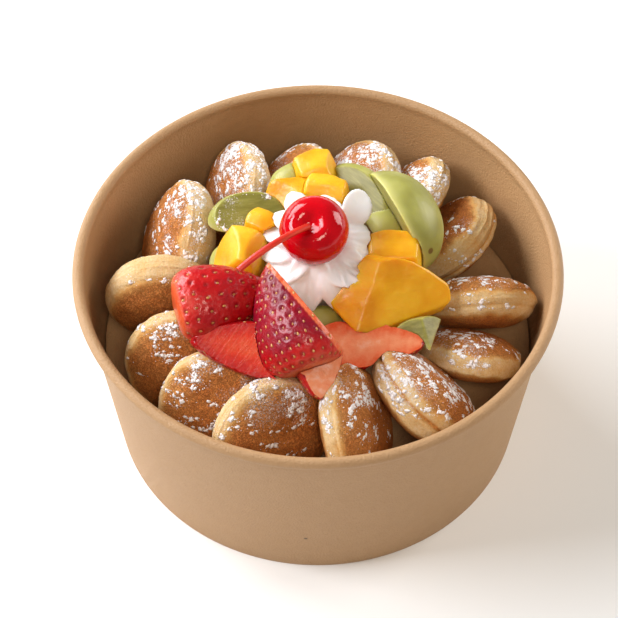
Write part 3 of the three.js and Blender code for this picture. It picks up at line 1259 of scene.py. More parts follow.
# ---------------------------------------------------------------- the pancakes
@dataclass(frozen=True)
class MiniPancake:
    """One pancake: two domed faces and a paler belt between them. +X is the browner face.

    `front` and `back` are where the browned faces start, as a share of the half thickness. `seam` is
    how deep the groove round its belt is, at `seam_at`, and `ridges` are the thin raised lines on it.
    """

    around: float
    out: float
    heading: float
    rise: float
    radius: float
    thickness: float
    front: float = 0.4
    back: float = 0.55
    seam: float = 0.3
    seam_at: float = 0.0
    ridges: tuple[float, ...] = (0.16, -0.24)
    toast: float = 1.0
    sugar: float = 0.5
    dusted: float = 0.0
    grid: tuple[int, int] = (176, 120)

    def shape(self, index: int) -> Form:
        """The pancake about its own origin.

        Args:
            index: Which pancake it is, from nought, so that no two are alike.

        Returns:
            Its form, with marks for how baked it is.
        """
        form = ball(*self.grid)
        x, around = form.start[:, 0], form.around()
        share = np.clip(np.cos(np.arcsin(np.clip(x, -1, 1))), 0, 1) ** 0.72
        phase = 1.7 * index
        swell = 1 + 0.015 * np.sin(2 * around + phase) + 0.01 * np.sin(3 * around - phase)
        half = self.thickness / 2
        reach = self.radius * share * swell
        ring = np.stack([np.cos(around) * 9, np.sin(around) * 9, x * 2], axis=1) + 17.0 * index
        ripple = 0.35 * clouds(ring, 6.0, 3) + 0.16 * clouds(ring, 2.2, 4)
        belt = half * (x - self.seam_at) - ripple
        reach = reach - self.seam * bell(belt, 0.6)
        reach = reach + 0.3 * self.seam * (bell(belt - 1.7, 1.1) + bell(belt + 1.7, 1.1))
        for number, ridge in enumerate(self.ridges):
            broken = smooth(clouds(ring + 5.0 * number, 5.0, 6), -0.45, 0.15)
            reach = reach + 0.26 * broken * bell(half * (x - ridge) - ripple * (1 + 0.4 * number), 0.36)
        depth = half * x + 0.025 * self.thickness * share**2 * np.sin(2 * around - 2 * phase)
        form.own = np.stack([depth, reach * np.cos(around), reach * np.sin(around)], axis=1)
        place = form.own + 41.0 * index
        wander = clouds(ring, 4.0, 5) * 0.1 + clouds(ring, 1.5, 9) * 0.05 + clouds(ring, 0.7, 8) * 0.025
        over, under = x - self.front + wander, -x - self.back - wander
        browned = np.maximum(smooth(over, -0.14, 0.24), smooth(under, -0.14, 0.24))
        lip = bell(over + 0.06, 0.1) + bell(under + 0.06, 0.1)
        streaks = bell(np.abs(x) - 0.12, 0.2) * (0.5 + 0.5 * clouds(ring * (1, 1, 2.5), 1.4, 7))
        middle = smooth(np.abs(x), 0.6, 0.98)
        baked = 0.13 + 0.07 * streaks + (0.48 + 0.1 * middle) * browned
        baked = baked + 0.34 * self.seam * bell(belt, 0.42) * (1 - browned)
        form.marks["baked"] = np.clip(baked * self.toast, 0, 1)
        lumps = 0.3 * clouds(place, 7.0, 1) + 0.15 * clouds(place, 2.8, 2) + 0.07 * clouds(place, 1.3, 3)
        fine = np.stack([place[:, 0] * 0.5, place[:, 1], place[:, 2]], axis=1)
        wrinkle = (0.1 * clouds(fine, 1.7, 4) + 0.05 * clouds(fine, 0.9, 10)) * (0.35 + 0.65 * browned)
        form.swell(lumps + wrinkle + 0.26 * lip)
        form.marks["own"] = place
        return form

    def build(self, index: int, others: Neighbours, material: bpy.types.Material) -> Form:
        """The pancake in its place, standing on the bowl's floor.

        Args:
            index: Which pancake it is, from 0.
            others: What is in the bowl already.
            material: What it is made of.

        Returns:
            The pancake, for the sugar.
        """
        form = self.shape(index)
        angle = math.radians(self.around)
        seat = Seat((self.out * math.cos(angle), self.out * math.sin(angle), 0.0), self.heading, self.rise)
        form.placed = seat.place(form.own)
        lift = FLOOR + REST - form.placed[:, 2].min()
        form.placed[:, 2] += lift
        others.press(form, np.array([*seat.at[:2], lift]))
        fall = smooth(form.normals(form.placed)[:, 2], -0.05, 0.65)
        fall = fall * (1 - 0.6 * smooth(np.hypot(form.placed[:, 0], form.placed[:, 1]), 50, 68))
        drift = 0.5 + 0.6 * clouds(form.placed, 6.0, 21) + 0.3 * clouds(form.placed, 2.5, 22)
        form.marks["sugar"] = np.clip(self.sugar * fall * (0.3 + 0.9 * drift) + self.dusted * fall, 0, 1)
        form.finish(f"pancake_{index + 1:02d}", material, Slot.PANCAKE)
        return form


PANCAKES = (
    MiniPancake(310, 50.4, 33, 38, 19.2, 18.5, front=0.42, seam=1.0, seam_at=0.05, ridges=(), sugar=0.9),
    MiniPancake(283, 50.3, -6, 23, 19, 16.3, front=0.14, ridges=(-0.3,), sugar=0.75),
    MiniPancake(255, 53, 299, 20, 19, 14.6, front=0.42, ridges=(0.26, 0.0), sugar=1.0),
    MiniPancake(235, 51.2, 275, 32, 19, 15.5, front=0.4, ridges=(0.24, 0.0), sugar=0.9),
    MiniPancake(210, 47.5, 270, 24, 17.6, 14.6, front=0.4, sugar=0.55),
    MiniPancake(180, 48, 270, -3, 17.8, 18, front=0.5, seam_at=0.45, ridges=(0.1, -0.15), sugar=0.12),
    MiniPancake(153, 49.5, 185, 24, 19.5, 18.6, front=0.42, back=0.9, seam=0.1, ridges=(0.3, -0.1), sugar=0.85),
    MiniPancake(121, 50.4, 194, 23, 17.5, 15, back=0.9, seam=0.1, ridges=(0.28,), sugar=1.0, dusted=0.25),
    MiniPancake(99, 44.5, 190, 44, 18.8, 15.6, sugar=0.8),
    MiniPancake(74, 46, 185, 40, 18.8, 16, sugar=0.95),
    MiniPancake(55, 49.3, 158, 40, 18.6, 14.8, front=0.5, sugar=1.0),
    MiniPancake(
        32, 52, 162, 43, 15.6, 15.4, 0.62, seam_at=-0.3, seam=0.5, ridges=(0.45, 0.2, -0.05), toast=1.25, sugar=0.6
    ),
    MiniPancake(0, 50.4, 91, 33, 17.8, 15.8, front=0.22, back=0.62, seam_at=-0.3, ridges=(-0.05,), sugar=0.75),
    MiniPancake(339, 50, 77, 49, 16.3, 14, front=0.38, back=0.4, ridges=(), seam=0.1, sugar=0.85),
)


# ---------------------------------------------------------------- the fruit
BERRY_OUTLINE = [(0, 0), (0.36, 0), (0.48, 0.12), (0.5, 0.3), (0.43, 0.55), (0.29, 0.78), (0.13, 0.95), (0, 1)]
Seed = tuple[np.ndarray, np.ndarray, np.ndarray]  # where a seed is, which way it faces, and where the tip is


@dataclass(frozen=True)
class Strawberry:
    """A strawberry along its +X, from the cut stalk end to the tip, sliced along its length."""

    node: str
    length: float
    width: float
    seat: Seat
    above: float = 0.5
    below: float = 0.5
    facets: tuple[Cut, ...] = ()
    ripeness: float = 0.55
    pale: float = 0.0
    lip: float = 0.0
    end: float = 0.0
    seed_rows: float = 3.9
    core: Triple | None = None
    grid: tuple[int, int] = (176, 120)

    def seeds(self) -> np.ndarray:
        """Where the seeds are, about the berry's own origin: rows round it, each set between the last.

        Returns:
            A place for each seed.
        """
        spots = []
        rows = int(self.length / (self.seed_rows * 0.82))
        for row in range(rows):
            share = (row + 0.9) / (rows + 0.4)
            r, s = outline_at(BERRY_OUTLINE, np.array([0.2 + 0.8 * share]))
            reach = float(r[0]) * self.width
            count = max(3, round(2 * math.pi * reach / self.seed_rows))
            for place in range(count):
                angle = 2 * math.pi * (place + 0.5 * (row % 2)) / count
                x = (float(s[0]) - 0.5) * self.length
                spots.append((x, reach * math.cos(angle), reach * math.sin(angle)))
        spots = np.array(spots)
        return spots + 0.45 * np.stack([clouds(spots, 2.6, seed) for seed in (31, 32, 33)], axis=1)

    def shape(self) -> Form:
        """The berry with a dimple at every seed, and its cuts.

        Returns:
            The berry about its own origin.
        """
        form = ball(*self.grid)
        along, around = form.along(), form.around()
        r, s = outline_at(BERRY_OUTLINE, along)
        reach = r * self.width * (1 + 0.03 * np.sin(3 * around + self.length) + 0.02 * np.sin(2 * around))
        form.own = np.stack([(s - 0.5) * self.length, reach * np.cos(around), reach * np.sin(around)], axis=1)
        form.swell(0.25 * clouds(form.own, 6.0, 41) * smooth(along, 0.1, 0.3))
        seeds = self.seeds()
        away = np.sqrt(((form.own[:, None, :] - seeds[None, :, :]) ** 2).sum(axis=2)).min(axis=1)
        skin = smooth(s, self.end, self.end + 0.02)
        form.swell(skin * (0.12 * bell(away - 1.35, 0.55) - 0.4 * bell(away, 0.72)))
        # where the painted shade of each seed's dimple goes
        form.marks["pit_shade"] = bell(away, 0.7) * skin
        flesh = 1 - skin
        shares = {(0, 0, 1): self.above, (0, 0, -1): self.below}
        slices = [(way, share * self.width) for way, share in shares.items() if share < 0.5]
        for direction, offset in [*slices, *self.facets]:
            flesh = np.maximum(flesh, form.cut(direction, offset, self.lip))
        form.marks["flesh"] = flesh
        ripe = self.ripeness * smooth(s, -0.05, 0.3) + 0.12 * clouds(form.own, 5.0, 44)
        form.marks["ripe"] = np.clip(ripe, 0, 1)
        x, y, z = form.own.T
        form.marks["slant"] = x - 0.5 * y
        form.marks["side"] = y
        rim = np.hypot(y, z) / np.maximum(r * self.width, 0.5)
        form.marks["depth"] = np.clip((0.42 + 0.5 * smooth(rim, 0.05, 1.0)) * (1 - self.pale), 0, 1)
        form.marks["own"] = form.own.copy()
        return form

    def build(self, others: Neighbours, material: bpy.types.Material) -> list[Seed]:
        """The berry in its place.

        Args:
            others: What is in the bowl already.
            material: Its skin and flesh.

        Returns:
            Each of its seeds that shows.
        """
        form = self.shape()
        form.placed = self.seat.place(form.own)
        core = np.array(self.core) if self.core else others.core(form)
        touched = others.press(form, core)
        facing = form.normals(form.placed)
        found = []
        for seed in self.seeds():
            if not 0.5 - self.below * self.width <= seed[2] <= self.above * self.width - 0.5:
                continue
            if any(np.dot(seed, way) / np.linalg.norm(way) > offset - 0.6 for way, offset in self.facets):
                continue
            place = self.seat.place(seed[None])[0]
            nearest = int(((form.placed - place) ** 2).sum(axis=1).argmin())
            if touched[nearest] or np.linalg.norm(form.placed[nearest] - place) > 1.2:
                continue
            found.append((form.placed[nearest], facing[nearest], self.seat.turn()[:, 0]))
        form.finish(self.node, material, Slot.STRAWBERRY, CRISP)
        return found


TOP_BERRIES = (
    Strawberry(
        "strawberry_centre",
        35,
        26,
        Seat((-8, -26, 77), 112, 25, -105),
        facets=(((0.34, 0, -0.94), 5.0),),
        ripeness=0.85,
        pale=0.62,
        lip=1.2,
        seed_rows=3.0,
    ),
    Strawberry(
        "strawberry_left", 30, 23, Seat((-28, -18, 74), 15), below=0.12, ripeness=0.5, pale=0.5, lip=0.7, end=0.03
    ),
)
LOW_BERRIES = (
    Strawberry(
        "strawberry_tip",
        26,
        18.5,
        Seat((-1, -37, 71), 277, -15),
        above=0.2,
        below=0.25,
        facets=(((0.3, 0.3, 0.9), 4.6),),
        ripeness=0.35,
        pale=0.78,
        core=(-1, -44, 67.5),
        grid=(128, 96),
    ),
    Strawberry(
        "strawberry_slice_left", 34, 18, Seat((-22, -33.5, 71.5), 168, 0, -35), 0.18, 0.18, grid=(144, 112)
    ),
    Strawberry(
        "strawberry_slice_right",
        31,
        16.5,
        Seat((16.5, -27.2, 64), 3, -1, 8),
        above=0.06,
        below=0.2,
        pale=0.58,
        grid=(144, 112),
    ),
)


@dataclass(frozen=True)
class MangoChunk:
    """A chunk of mango: a soft-edged block whose top is narrower and whose +Y side bulges.

    `taper` is how much narrower its top is, `nose` how much narrower its +X end is, `bulge` how far its
    side stands out, and `soft` how near it comes to a ball. `grain` is the size of its faces, and its
    edges are eased over `ease` rounds.
    """

    node: str
    length: float
    width: float
    height: float
    seat: Seat
    taper: float = 0.2
    nose: float = 0.0
    bulge: float = 0.1
    soft: float = 0.38
    grain: float = 0.4
    ease: int = 18
    facets: tuple[Cut, ...] = ()

    def shape(self) -> Form:
        """The chunk about its own origin.

        Returns:
            The chunk.
        """
        form = block(9)
        p = form.start.copy()
        p = p + (p / np.linalg.norm(p, axis=1)[:, None] * 1.3 - p) * self.soft
        up = 0.5 + 0.5 * p[:, 2]
        side = np.where(p[:, 1] > 0, p[:, 1] * self.bulge * (1 - 0.8 * p[:, 0] ** 2), 0)
        slim = (1 - self.taper * up) * (1 - self.nose * (0.5 + 0.5 * p[:, 0]))
        x = self.length / 2 * p[:, 0] * (1 - 0.5 * self.taper * up)
        form.own = np.stack([x, self.width / 2 * (p[:, 1] * slim + 2 * side), self.height / 2 * p[:, 2]], axis=1)
        form = remade(sliced(form, self.facets), self.grain, self.ease)
        place = form.own + self.length * 3.7
        cuts = 0.34 * clouds(place, 5.0, 51) + 0.08 * clouds(place * (0.5, 1, 1), 2.0, 52)
        form.swell(cuts + 0.05 * clouds(place, 0.9, 53))
        form.marks["own"] = place
        return form

    def build(self, others: Neighbours, material: bpy.types.Material) -> None:
        """The chunk in its place.

        Args:
            others: What is in the bowl already.
            material: What it is made of.
        """
        form = self.shape()
        form.placed = self.seat.place(form.own)
        others.press(form, others.core(form))
        form.finish(self.node, material, Slot.MANGO)


CHUNKS = (
    MangoChunk(
        "mango_front",
        38,
        25,
        20,
        Seat((21, -15, 70)),
        taper=0,
        nose=0.3,
        bulge=0,
        facets=(
            ((0.33, -0.65, 0.68), 0.6),
            ((-0.2, -0.54, 0.82), 4.0),
            ((0.1, 0.35, 0.93), 11.6),
            ((0.42, -0.88, -0.2), 6.4),
            ((-0.29, -0.29, -0.91), 8.9),
            ((-0.76, -0.57, -0.3), 14.1),
            ((-0.75, 0.65, 0.1), 12.7),
            ((0.6, 0.35, 0.72), 12.8),
            ((0.8, -0.5, -0.35), 15.0),
        ),
    ),
    MangoChunk("mango_right", 17, 13, 11, Seat((23, 1.5, 71))),
    MangoChunk("mango_back_front", 14, 9, 10, Seat((2.5, 24, 74), -15), facets=(((0.1, -0.7, 0.7), 4.2),)),
    MangoChunk("mango_back_left", 18, 10, 9, Seat((-7, 25, 71.5), 5), facets=(((-0.5, -0.45, 0.74), 4.2),)),
    MangoChunk(
        "mango_back",
        14,
        15,
        15,
        Seat((0, 33, 70), 20),
        facets=(((-0.1, -0.75, 0.65), 6.6), ((0.8, -0.3, 0.5), 6.6)),
    ),
    MangoChunk("mango_left_small", 9, 11, 13, Seat((-16.5, 9.5, 73), 60)),
    MangoChunk(
        "mango_left",
        15,
        14,
        15,
        Seat((-23, 0, 72), 70),
        facets=(((-0.35, 0.67, 0.65), 6.2), ((0.0, -0.63, 0.77), 7.6)),
    ),
)


@dataclass(frozen=True)
class Grape:
    """A cut grape along its +X with the rounded side up. `keep` is the share of its height that is left."""

    node: str
    length: float
    width: float
    seat: Seat
    keep: float = 0.5
    sugar: float = 0.0
    facets: tuple[Cut, ...] = ()
    scar: Triple = (99.0, 0.0, 0.0)  # left as it is, the scar is clear of the grape
    grid: tuple[int, int] = (48, 32)

    def build(self, others: Neighbours, material: bpy.types.Material) -> Form:
        """The grape in its place.

        Args:
            others: What is in the bowl already.
            material: What it is made of.

        Returns:
            The grape, for the sugar.
        """
        form = ball(*self.grid)
        form.own = form.start * (self.length / 2, self.width / 2, self.width / 2)
        low = (self.keep - 0.5) * self.width
        aside = self.length * 5.3  # so that no two grapes are alike
        cuts = (((0, 0, -1), low), *self.facets)
        form = remade(sliced(form, cuts), 0.35, 4)
        facing = form.normals(form.own)
        flesh = np.zeros(len(facing))
        for direction, _ in cuts:
            flesh = np.maximum(flesh, smooth(facing @ np.array(Vector(direction).normalized()), 0.8, 0.95))
        form.swell(0.18 * clouds(form.own, 6.0, 61))
        form.marks["flesh"] = flesh
        # where the painted light along the cut edge goes
        form.marks["rim"] = bell(form.own[:, 2] + low, 1.5) * (1 - 0.5 * flesh)
        form.marks["own"] = form.own + aside
        form.marks["scar_at"] = np.tile(np.array(self.scar) + aside, (len(form.own), 1))
        form.placed = self.seat.place(form.own)
        others.press(form, others.core(form))
        facing = form.normals(form.placed)[:, 2]
        drift = 0.5 + 0.5 * clouds(form.placed, 4.0, 63)
        form.marks["sugar"] = np.clip(self.sugar * smooth(facing, 0.2, 0.8) * drift, 0, 1)
        form.finish(self.node, material, Slot.GRAPE)
        return form


GRAPES = (
    Grape("grape_right", 36, 27, Seat((24.5, 16, 70), 116, 5, 78), scar=(-16.6, 3.6, 3.6)),
    Grape("grape_left", 25, 17, Seat((-22, 18, 69), 10, 0, -20), sugar=0.75, facets=(((0.1, -0.6, 0.8), 4.0),)),
    Grape("grape_back_right", 28, 16, Seat((14.5, 27.5, 69), 135, 5), facets=(((0.05, 0.62, 0.78), 4.6),)),
    Grape("grape_back", 18, 13, Seat((-7, 34, 68), 30)),
    Grape("grape_right_low", 22, 15, Seat((21, 18, 65.5), 120, 5, 30)),
    Grape(
        "grape_front_right",
        20,
        15,
        Seat((31.5, -23.5, 61), 15),
        keep=0.35,
        facets=(((-0.4, -0.4, 0.82), 4.0), ((0.55, -0.35, 0.76), 4.2)),
    ),
    Grape("grape_right_edge", 16, 12, Seat((32, -5, 60), 60)),
    Grape("grape_under_cream", 14, 10, Seat((0.5, -17, 62), 10)),
    Grape("grape_left_low", 18, 13, Seat((-27, 2, 64), 100)),
)


@dataclass(frozen=True)
class Cherry:
    """A candied cherry with a dimple at its top, +Z, and its stem."""

    radius: float = 10.5
    height: float = 19.4
    dimple: float = 3.3
    dimple_radius: float = 3.6
    at: Triple = (-1.2, 0.0, 85.0)
    tilt: tuple[float, float] = (26.0, -10.0)
    stem_radius: float = 0.98
    stem_path: tuple[Triple, Triple, Triple] = ((-2.8, -4, 91.5), (-13.4, -12.4, 95), (-23.3, -20, 90.5))
    stem_end: float = 0.04  # the share of the stem that rounds off at each end
    grid: tuple[int, int] = (144, 96)
    stem_grid: tuple[int, int] = (24, 80)

    def build_fruit(self, others: Neighbours) -> None:
        """The cherry.

        Args:
            others: What is in the bowl already.
        """
        form = ball(*self.grid)
        x, around = form.start[:, 0], form.around()
        r = self.radius * np.sqrt(np.clip(1 - x * x, 0, 1))
        dip = self.dimple * bell(r, self.dimple_radius) * (x > 0)
        z = self.height / 2 * x - dip
        form.own = np.stack([-r * np.sin(around), r * np.cos(around), z], axis=1)
        form.swell(0.12 * clouds(form.own, 5.0, 71))
        form.marks["own"] = form.own.copy()
        tip, lean = (math.radians(angle) for angle in self.tilt)
        turn = Matrix.Rotation(tip, 3, "X") @ Matrix.Rotation(lean, 3, "Y")
        form.placed = form.own @ np.array(turn).T + np.array(self.at)
        others.add(form)
        form.finish("cherry", CherryFinish().material(), Slot.CHERRY)

    def build_stem(self, others: Neighbours) -> None:
        """The stem along its curve, with rounded ends.

        Args:
            others: What is in the bowl already.
        """
        form = ball(*self.stem_grid)
        along, around = form.along(), form.around()
        a, b, c = (np.array(p, float) for p in self.stem_path)
        t = np.clip((along - self.stem_end) / 0.92, 0, 1)[:, None]
        centre = a * (1 - t) ** 2 + b * 2 * t * (1 - t) + c * t * t
        way = (b - a) * (1 - t) + (c - b) * t
        way /= np.linalg.norm(way, axis=1)[:, None]
        side = np.cross(way, np.array([0, 0, 1.0]))
        side /= np.linalg.norm(side, axis=1)[:, None]
        up = np.cross(side, way)
        reach = self.stem_radius * np.ones(len(along))
        for past in (self.stem_end - along, along - (1 - self.stem_end)):
            reach = reach * np.sqrt(np.clip(1 - np.clip(past / self.stem_end, 0, 1) ** 2, 0, 1))
        reach = reach * (1 + 0.06 * np.sin(3 * around))
        form.own = centre + (side * np.cos(around)[:, None] + up * np.sin(around)[:, None]) * reach[:, None]
        length = np.linalg.norm(c - a)
        form.marks["own"] = np.stack([along * length, np.cos(around), np.sin(around)], axis=1)
        form.placed = form.own
        others.add(form)
        form.finish("cherry_stem", StemFinish().material(), Slot.STEM)


@dataclass(frozen=True)
class Petal:
    """A soft leaf of cream. Its +X is outwards, and its +Z is its upper face.

    `cup` is how far its sides turn up and `curl` how far its tip does, in millimetres. `point` is how
    much narrower its tip is. Its edge waves in `folds`, and it has `ridges` fine lines that fan out.
    """

    size: Triple
    seat: Seat
    cup: float = 0.0
    curl: float = 0.0
    point: float = 0.0
    folds: int = 3
    fold_depth: float = 0.5
    ridges: int = 14
    ridge_depth: float = 0.1

    def shape(self) -> Form:
        """The leaf in its place.

        Returns:
            The leaf.
        """
        form = ball(64, 44)
        x, y, z = form.start.T
        out = smooth(x, -0.2, 1.0)
        narrow = 1 - self.point * out
        fan = np.arctan2(y, x + 1.2)
        wave = self.fold_depth * np.cos(self.folds * 2 * fan) * out
        lift = self.cup * y * y + self.curl * out * out + wave
        a, b, c = self.size
        form.own = self.seat.place(np.stack([a * x, b * y * narrow, c * z * (1 - 0.45 * out) + lift], axis=1))
        return form

    def lines(self, points: np.ndarray) -> tuple[np.ndarray, np.ndarray]:
        """The fine lines that fan out over the leaf.

        Args:
            points: Places in the bowl.

        Returns:
            How far each place is from the middle of the leaf, and the relief of the lines there.
        """
        x, y, z = ((points - np.array(self.seat.at)) @ self.seat.turn() / np.array(self.size)).T
        away = np.sqrt(x * x + y * y + 0.3 * z * z)
        fan = np.arctan2(y, x + 1.3)
        uneven = 0.35 * clouds(points, 4.0, 84)
        relief = self.ridge_depth * np.cos(self.ridges * 2 * (fan + uneven * 0.3)) * smooth(x, -0.5, 0.7)
        return away, relief


CREAM_OUTLINE = [
    (0.0, 0.0),
    (0.72, 0.0),
    (0.72, 0.62),
    (0.9, 0.75),
    (1.0, 0.84),
    (0.95, 0.92),
    (0.7, 0.97),
    (0.4, 0.995),
    (0.0, 1.0),
]


@dataclass(frozen=True)
class WhippedCream:
    """Piped cream: a column that opens into soft leaves round the cherry."""

    top: float = 79.0
    core_top: float = 71.0
    crown: float = 10.4
    at: tuple[float, float] = (-1.0, 2.0)
    grain: float = 0.36
    petals: tuple[Petal, ...] = (
        Petal(
            (6.2, 4.9, 1.7), Seat((11.4, 12.4, 80.6), 66, 22, 34), 1.5, folds=1, fold_depth=0.2, ridge_depth=0.02
        ),
        Petal((6.6, 6.0, 1.9), Seat((9.6, 4.6, 77.2), 12, -4, 10), 1.0, curl=-1.0, fold_depth=1.0),
        Petal((6.0, 5.6, 1.8), Seat((10.2, -1.8, 75.0), -22, -12, 4), 1.2, curl=-0.8, folds=2, fold_depth=0.9),
        Petal((6.6, 6.6, 1.5), Seat((7.6, -6.2, 74.6), -50, -20, 8), 1.3, curl=1.0, ridges=20, ridge_depth=0.3),
        Petal((9.2, 6.8, 1.8), Seat((-2.4, -9.4, 71.8), -84, -46, 6), 2.4, point=0.6, folds=1, fold_depth=0.8),
        Petal((7.4, 4.6, 2.6), Seat((4.4, -10.8, 71.0), -66, -42, -4), point=0.2, folds=2, ridge_depth=0.05),
        Petal((8.0, 6.8, 2.0), Seat((-8.6, -4.4, 74.0), 212, -18, 0), 1.4, folds=2, fold_depth=0.9),
        Petal((7.0, 5.4, 1.8), Seat((-5.4, 12.4, 79.8), 112, 4, 10), 1.6, point=0.2, folds=2, fold_depth=0.8),
        Petal((6.4, 5.6, 1.8), Seat((-8.2, 8.0, 78.2), 142, 0, 12), 1.6, point=0.2, folds=2, fold_depth=0.8),
        Petal((6.6, 5.4, 1.8), Seat((-10.2, 4.0, 76.4), 164, -6, 12), 1.4, point=0.2, folds=2, fold_depth=0.8),
        Petal((7.4, 5.8, 2.0), Seat((-10.6, -0.4, 74.6), 184, -12, 10), 1.4, point=0.25, folds=2, fold_depth=0.8),
        Petal((6.0, 6.4, 2.0), Seat((1.6, 12.6, 78.6), 84, 4, 0), 1.0, fold_depth=0.8),
    )
    grid: tuple[int, int] = (96, 80)

    def column(self) -> Form:
        """The column, as its turned outline gives it.

        Returns:
            The column.
        """
        foot = FLOOR + REST
        form = ball(*self.grid)
        around = form.around()
        r, s = outline_at(CREAM_OUTLINE, form.along())
        r, z = r * self.crown, foot + s * (self.top - foot)
        form.own = np.stack([self.at[0] - r * np.sin(around), self.at[1] + r * np.cos(around), z], axis=1)
        return form

    def build(self, others: Neighbours) -> None:
        """The cream, with fine lines from its nozzle, pressed under the cherry.

        Args:
            others: What is in the bowl already.
        """
        bm = bmesh.new()
        for shape in [self.column(), *(petal.shape() for petal in self.petals)]:
            shape.give(bm)
        form = remade(bm, self.grain, 4)
        away, relief = zip(*(petal.lines(form.own) for petal in self.petals))
        nearest = np.argmin(away, axis=0)
        relief = np.take_along_axis(np.array(relief), nearest[None], axis=0)[0]
        form.swell(relief + 0.16 * clouds(form.own, 3.5, 83))
        form.placed = form.own
        # pink where the cream comes within about 3 mm of the cherry
        form.marks["blush"] = 1 - smooth(np.linalg.norm(form.placed - np.array(Cherry.at), axis=1), 11.0, 13.5)
        z = form.own[:, 2]
        core = [np.full_like(z, self.at[0]), np.full_like(z, self.at[1]), np.minimum(z, self.core_top)]
        others.press(form, np.stack(core, axis=1))
        form.finish("cream", CreamFinish().material(), Slot.CREAM)


# ---------------------------------------------------------------- small loose things
class Scatter:
    """Many copies of a few small shapes, joined into one piece."""

    def __init__(self, name: str, material: bpy.types.Material) -> None:
        """Starts with none.

        Args:
            name: What the piece is called.
            material: What it is made of.
        """
        self.name = name
        self.material = material
        self.bm = bmesh.new()
        self.count = 0

    def add(self, pattern: bpy.types.Mesh, place: Matrix) -> None:
        """Adds a copy of a shape at a place, in millimetres.

        Args:
            pattern: The shape.
            place: Where it goes.
        """
        copy = pattern.copy()
        copy.transform(Matrix.Scale(MM, 4) @ place)
        self.bm.from_mesh(copy)
        bpy.data.meshes.remove(copy)
        self.count += 1

    def finish(self, slot: Slot | None = None) -> None:
        """Makes the shown piece.

        Args:
            slot: The record's name of its finish, where it has one. It is not used.
        """
        mesh = written(self.bm, self.name)
        mesh.shade_smooth()
        mesh.materials.append(self.material)
        piece = linked(self.name, mesh)
        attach(piece, BODY)
        log.info("%s: %d of them", self.name, self.count)


def facing_matrix(at: np.ndarray, up: np.ndarray, along: np.ndarray, size: Triple) -> Matrix:
    """A place whose +Z is up and whose +X is nearest to along, with a size on each axis.

    Args:
        at: The place.
        up: What its +Z points to.
        along: What its +X points to as nearly as it can.
        size: The size on each axis.

    Returns:
        The place as a matrix.
    """
    z = Vector(up).normalized()
    x = Vector(along) - z * Vector(along).dot(z)
    x = x.normalized() if x.length > 1e-4 else z.orthogonal().normalized()
    turn = Matrix((x, z.cross(x), z)).transposed().to_4x4()
    return Matrix.Translation(Vector(at)) @ turn @ Matrix.Diagonal((*size, 1.0))


def seed_pattern() -> bpy.types.Mesh:
    """A seed: a ball drawn to a point at one end.

    Returns:
        Its mesh.
    """
    bm = bmesh.new()
    bmesh.ops.create_uvsphere(bm, u_segments=8, v_segments=7, radius=1.0)
    for vertex in bm.verts:
        vertex.co.y *= 1 - 0.35 * vertex.co.x
        vertex.co.z *= 1 - 0.25 * vertex.co.x
    return written(ordered(bm), "seed_pattern")


def grain_patterns(kinds: int, detail: int, chance: random.Random) -> list[bpy.types.Mesh]:
    """A few uneven grains.

    Args:
        kinds: How many grains.
        detail: How many times a grain is divided.
        chance: Where the random draws come from.

    Returns:
        Their meshes.
    """
    patterns = []
    for kind in range(kinds):
        bm = bmesh.new()
        bmesh.ops.create_icosphere(bm, subdivisions=detail, radius=1.0)
        for vertex in bm.verts:
            vertex.co *= chance.uniform(0.6, 1.25)
        patterns.append(written(ordered(bm), f"grain_pattern_{kind}"))
    return patterns


@dataclass
class StrawberrySeeds:
    """All the seeds of all the strawberries."""

    size: Triple = (0.55, 0.34, 0.24)

    def build(self, spots: list[Seed]) -> None:
        """Sets a seed in each dimple.

        Args:
            spots: Where the seeds are.
        """
        chance = random.Random(7)
        scatter = Scatter("strawberry_seeds", SeedFinish().material())
        pattern = seed_pattern()
        for at, up, tip in spots:
            size = tuple(part * chance.uniform(0.85, 1.15) for part in self.size)
            scatter.add(pattern, facing_matrix(at + up * 0.05, up, tip, size))
        scatter.finish(Slot.STRAWBERRY)


